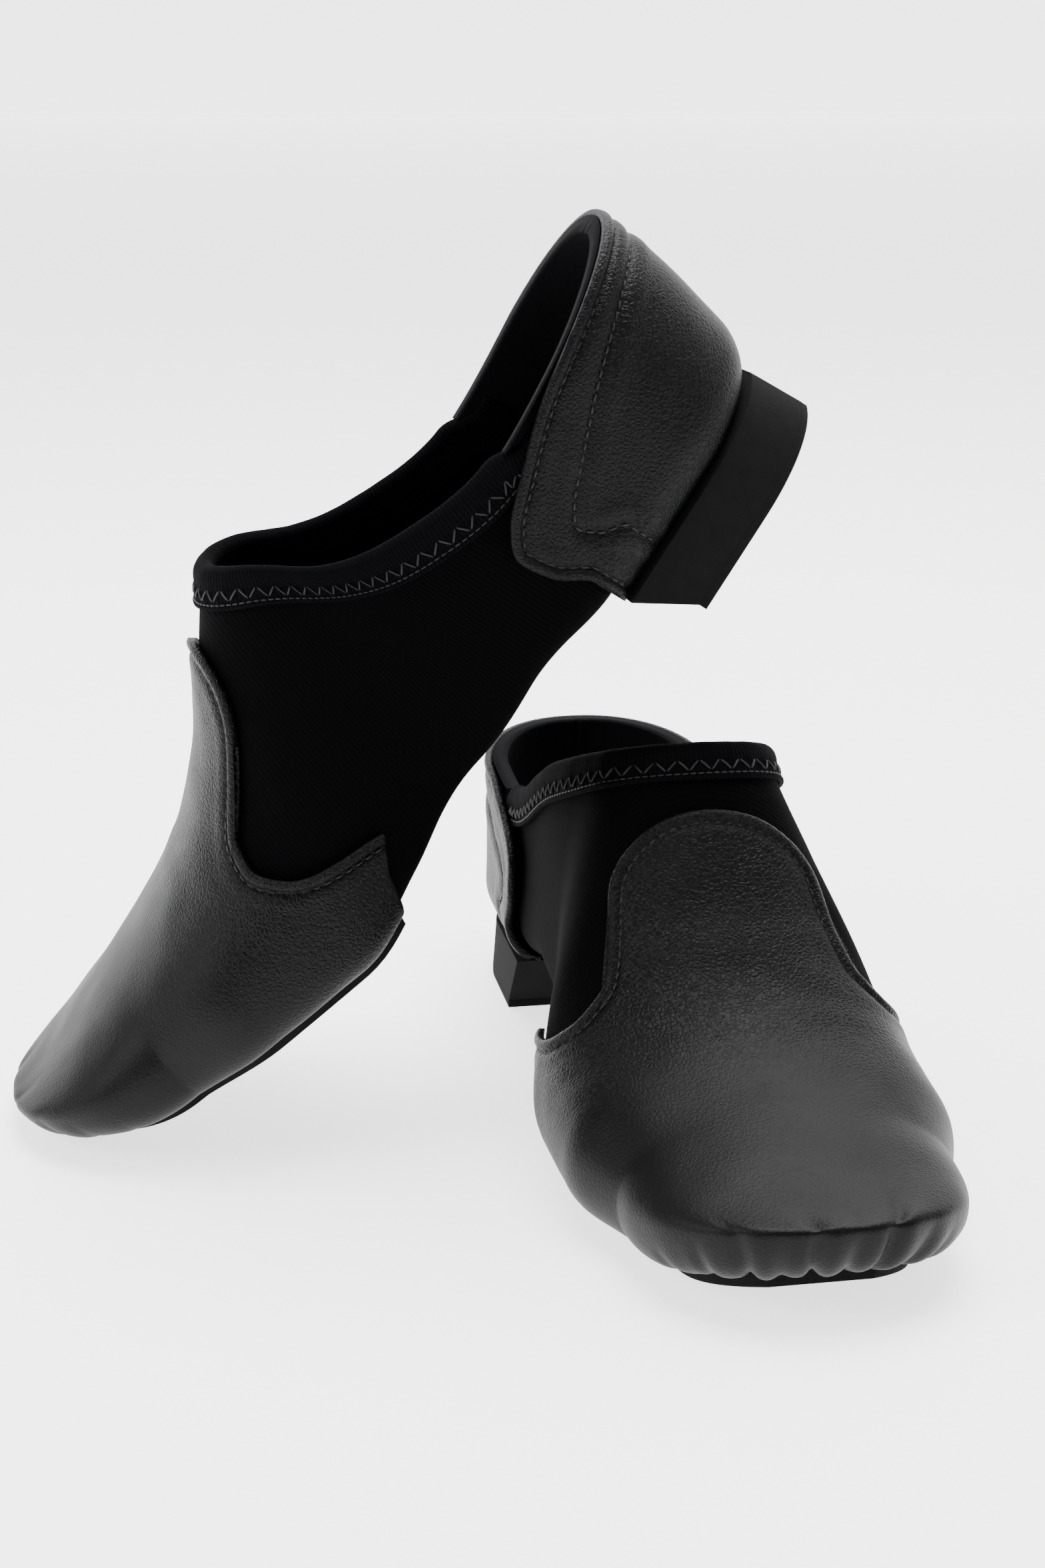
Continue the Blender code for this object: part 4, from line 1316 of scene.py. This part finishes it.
def make_stage(settings):
    """A pale floor with a wall behind, three soft lights and the camera."""
    maker = bmesh.new()
    bmesh.ops.create_grid(maker, x_segments=1, y_segments=1, size=0.5 * settings.floor_size)
    mesh = bpy.data.meshes.new("floor")
    maker.to_mesh(mesh)
    maker.free()
    floor = bpy.data.objects.new("floor", mesh)
    bpy.context.scene.collection.objects.link(floor)
    made, _, shader = new_material("Pale floor")
    shader.inputs["Base Color"].default_value = (*settings.floor_colour, 1.0)
    shader.inputs["Emission Color"].default_value = (1.0, 1.0, 1.0, 1.0)
    shader.inputs["Emission Strength"].default_value = settings.floor_glow
    shader.inputs["Roughness"].default_value = 0.6
    shader.inputs["Specular IOR Level"].default_value = 0.2
    mesh.materials.append(made)
    wall = bpy.data.objects.new("wall", mesh)
    bpy.context.scene.collection.objects.link(wall)
    wall.location = (0.0, settings.wall_distance, 0.0)
    wall.rotation_euler = (math.radians(90.0), 0.0, 0.0)
    world = bpy.context.scene.world or bpy.data.worlds.new("Studio")
    bpy.context.scene.world = world
    world.use_nodes = True
    sky = world.node_tree.nodes["Background"]
    sky.inputs["Color"].default_value = (1.0, 1.0, 1.0, 1.0)
    sky.inputs["Strength"].default_value = settings.sky_strength
    add_light("Top box", (0.1, 0.25, 1.3), (0.0, 0.0, 0.05), 1.1, settings.top_power)
    add_light("Left box", (-1.3, -0.5, 0.9), (0.0, 0.0, 0.08), 0.8, settings.left_power)
    add_light("Right box", (1.4, -0.2, 0.8), (0.0, 0.0, 0.08), 0.8, settings.right_power)
    lens = bpy.data.cameras.new("Camera")
    lens.lens = settings.lens
    lens.sensor_width = 36.0
    lens.sensor_fit = "AUTO"
    lens.clip_start = 0.01
    camera = bpy.data.objects.new("Camera", lens)
    bpy.context.scene.collection.objects.link(camera)
    rise = settings.camera_elevation
    back = Vector((0.0, -math.cos(rise), math.sin(rise)))
    camera.location = Vector(settings.camera_aim) + back * settings.camera_distance
    camera.rotation_euler = (-back).to_track_quat("-Z", "Y").to_euler()
    bpy.context.scene.camera = camera


def add_light(name, place, aim, size, power):
    lamp = bpy.data.lights.new(name, "AREA")
    lamp.shape = "DISK"
    lamp.size = size
    lamp.energy = power
    made = bpy.data.objects.new(name, lamp)
    bpy.context.scene.collection.objects.link(made)
    made.location = place
    made.rotation_euler = (Vector(aim) - Vector(place)).to_track_quat("-Z", "Y").to_euler()


# The add-on


def colour_setting(name, description, default):
    return bpy.props.FloatVectorProperty(
        name=name, description=description, subtype="COLOR", default=default, min=0.0, max=1.0
    )


def number_setting(name, description, default, **limits):
    return bpy.props.FloatProperty(name=name, description=description, default=default, **limits)


def length_setting(name, description, default, **limits):
    return number_setting(name, description, default, unit="LENGTH", **limits)


def power_setting(name, description, default):
    return number_setting(name, description, default, unit="POWER", min=0.0)


class JazzShoeSettings(bpy.types.PropertyGroup):
    """Sizes and colours of the pair's finish."""

    leather_colour: colour_setting(
        "Leather colour", "Colour of the vamps and heel quarters", (0.0022, 0.0022, 0.0025)
    )
    leather_roughness: number_setting(
        "Leather roughness", "How soft the leather's sheen is", 0.44, min=0.1, max=1.0, subtype="FACTOR"
    )
    grain_size: length_setting(
        "Grain size", "Width of one pebble of the leather's grain", 0.0011, min=0.0002, max=0.01
    )
    stitch_pitch: length_setting(
        "Stitch pitch", "Distance between two stitches of a seam", 0.0027, min=0.001, max=0.01
    )
    zigzag_pitch: length_setting(
        "Zigzag pitch", "Length of one full zigzag on the collar", 0.0048, min=0.002, max=0.02
    )
    thread_colour: colour_setting("Thread colour", "Colour of all sewing thread", (0.0014, 0.0014, 0.0018))
    cloth_colour: colour_setting("Sleeve colour", "Colour of the stretch sleeve", (0.0009, 0.0009, 0.0011))
    band_colour: colour_setting(
        "Collar colour", "Colour of the knitted collar band", (0.0012, 0.0012, 0.0016)
    )
    lining_colour: colour_setting(
        "Lining colour", "Colour of the lining and the sock pads", (0.0025, 0.0025, 0.0032)
    )
    suede_colour: colour_setting("Suede colour", "Colour of the soles and heels", (0.0022, 0.0022, 0.0022))
    board_colour: colour_setting("Board colour", "Colour of the insole boards", (0.10, 0.08, 0.06))


class JazzShoeStageSettings(bpy.types.PropertyGroup):
    """Floor, lights and camera."""

    floor_colour: colour_setting("Floor colour", "Colour of the floor", (0.92, 0.92, 0.92))
    floor_glow: number_setting("Floor glow", "Light that the floor and the wall give off", 2.0, min=0.0)
    floor_size: length_setting("Floor size", "Side of the floor and of the wall", 40.0, min=1.0)
    wall_distance: length_setting("Wall distance", "How far behind the shoes the wall stands", 12.0, min=1.0)
    sky_strength: number_setting("Surrounding light", "Strength of the light from all round", 0.3, min=0.0)
    top_power: power_setting("Top light", "Power of the light overhead", 38.0)
    left_power: power_setting("Left light", "Power of the light on the left", 20.0)
    right_power: power_setting("Right light", "Power of the light on the right", 4.0)
    lens: number_setting("Lens", "Focal length of the camera in millimetres", 59.97, min=10.0)
    camera_distance: length_setting(
        "Camera distance", "Distance from the camera to the point it looks at", 0.929, min=0.1
    )
    camera_elevation: number_setting(
        "Camera elevation", "Angle of the camera above the floor", math.radians(15.45), unit="ROTATION"
    )
    camera_aim: bpy.props.FloatVectorProperty(
        name="Camera aim", description="Point of the floor that the camera looks at", unit="LENGTH",
        default=(SHOES[0].origin[0] - FLAT_PLACE[0], SHOES[0].origin[1] - FLAT_PLACE[1], 0.0),
    )


class ShoePiece:
    """What every operator that makes pieces for both shoes shares."""

    bl_options = {"REGISTER", "UNDO"}
    makers = ()

    def execute(self, context):
        for shoe in SHOES:
            for maker in self.makers:
                maker(shoe, context.scene.jazz_shoes)
        return {"FINISHED"}


class SHOES_OT_vamps(ShoePiece, bpy.types.Operator):
    """Makes the leather toe caps with their wings, tongues and toe gathers"""

    bl_idname = "shoes.vamps"
    bl_label = "Vamps"
    makers = (make_vamp,)


class SHOES_OT_vamp_stitches(ShoePiece, bpy.types.Operator):
    """Sews the rows of stitches along the vamps' edges"""

    bl_idname = "shoes.vamp_stitches"
    bl_label = "Vamp stitches"
    makers = (make_vamp_stitches,)


class SHOES_OT_sleeves(ShoePiece, bpy.types.Operator):
    """Makes the stretch sleeves round the instep and arch"""

    bl_idname = "shoes.sleeves"
    bl_label = "Stretch sleeves"
    makers = (make_sleeve,)


class SHOES_OT_collars(ShoePiece, bpy.types.Operator):
    """Makes the knitted collar bands and their zigzag stitching"""

    bl_idname = "shoes.collars"
    bl_label = "Collar bands"
    makers = (make_binding, make_zigzag)


class SHOES_OT_quarters(ShoePiece, bpy.types.Operator):
    """Makes the leather heel quarters"""

    bl_idname = "shoes.quarters"
    bl_label = "Heel quarters"
    makers = (make_quarter,)


class SHOES_OT_quarter_stitches(ShoePiece, bpy.types.Operator):
    """Sews both rows of stitches on the heel quarters"""

    bl_idname = "shoes.quarter_stitches"
    bl_label = "Quarter stitches"
    makers = (make_quarter_stitches,)


class SHOES_OT_linings(ShoePiece, bpy.types.Operator):
    """Makes the linings of heel and toe"""

    bl_idname = "shoes.linings"
    bl_label = "Linings"
    makers = (make_heel_lining, make_vamp_lining)


class SHOES_OT_soles(ShoePiece, bpy.types.Operator):
    """Makes the suede soles, the heel blocks and their wear layers"""

    bl_idname = "shoes.soles"
    bl_label = "Soles and heels"
    makers = (make_soles,)


class SHOES_OT_insoles(ShoePiece, bpy.types.Operator):
    """Makes the sock pads and finishes the boards"""

    bl_idname = "shoes.insoles"
    bl_label = "Insoles"
    makers = (make_insoles,)


class SHOES_OT_stage(bpy.types.Operator):
    """Lays the floor and sets the lights and the camera"""

    bl_idname = "shoes.stage"
    bl_label = "Stage"
    bl_options = {"REGISTER", "UNDO"}

    def execute(self, context):
        make_stage(context.scene.jazz_shoe_stage)
        return {"FINISHED"}


OPERATORS = (
    SHOES_OT_vamps, SHOES_OT_vamp_stitches, SHOES_OT_sleeves, SHOES_OT_collars, SHOES_OT_quarters,
    SHOES_OT_quarter_stitches, SHOES_OT_linings, SHOES_OT_soles, SHOES_OT_insoles, SHOES_OT_stage,
)


class SHOES_PT_panel(bpy.types.Panel):
    """Lists the pieces and their settings"""

    bl_label = "Jazz shoes"
    bl_idname = "SHOES_PT_panel"
    bl_space_type = "VIEW_3D"
    bl_region_type = "UI"
    bl_category = "Jazz shoes"

    def draw(self, context):
        for group in (context.scene.jazz_shoes, context.scene.jazz_shoe_stage):
            for name in group.__annotations__:
                self.layout.prop(group, name)
        for operator in OPERATORS:
            self.layout.operator(operator.bl_idname)


CLASSES = (JazzShoeSettings, JazzShoeStageSettings, *OPERATORS, SHOES_PT_panel)


def register():
    for made in CLASSES:
        bpy.utils.register_class(made)
    bpy.types.Scene.jazz_shoes = bpy.props.PointerProperty(type=JazzShoeSettings)
    bpy.types.Scene.jazz_shoe_stage = bpy.props.PointerProperty(type=JazzShoeStageSettings)


def unregister():
    del bpy.types.Scene.jazz_shoe_stage
    del bpy.types.Scene.jazz_shoes
    for made in reversed(CLASSES):
        bpy.utils.unregister_class(made)


def main():
    register()
    for operator in OPERATORS:
        group, name = operator.bl_idname.split(".")
        getattr(getattr(bpy.ops, group), name)()


if __name__ == "__main__":
    main()
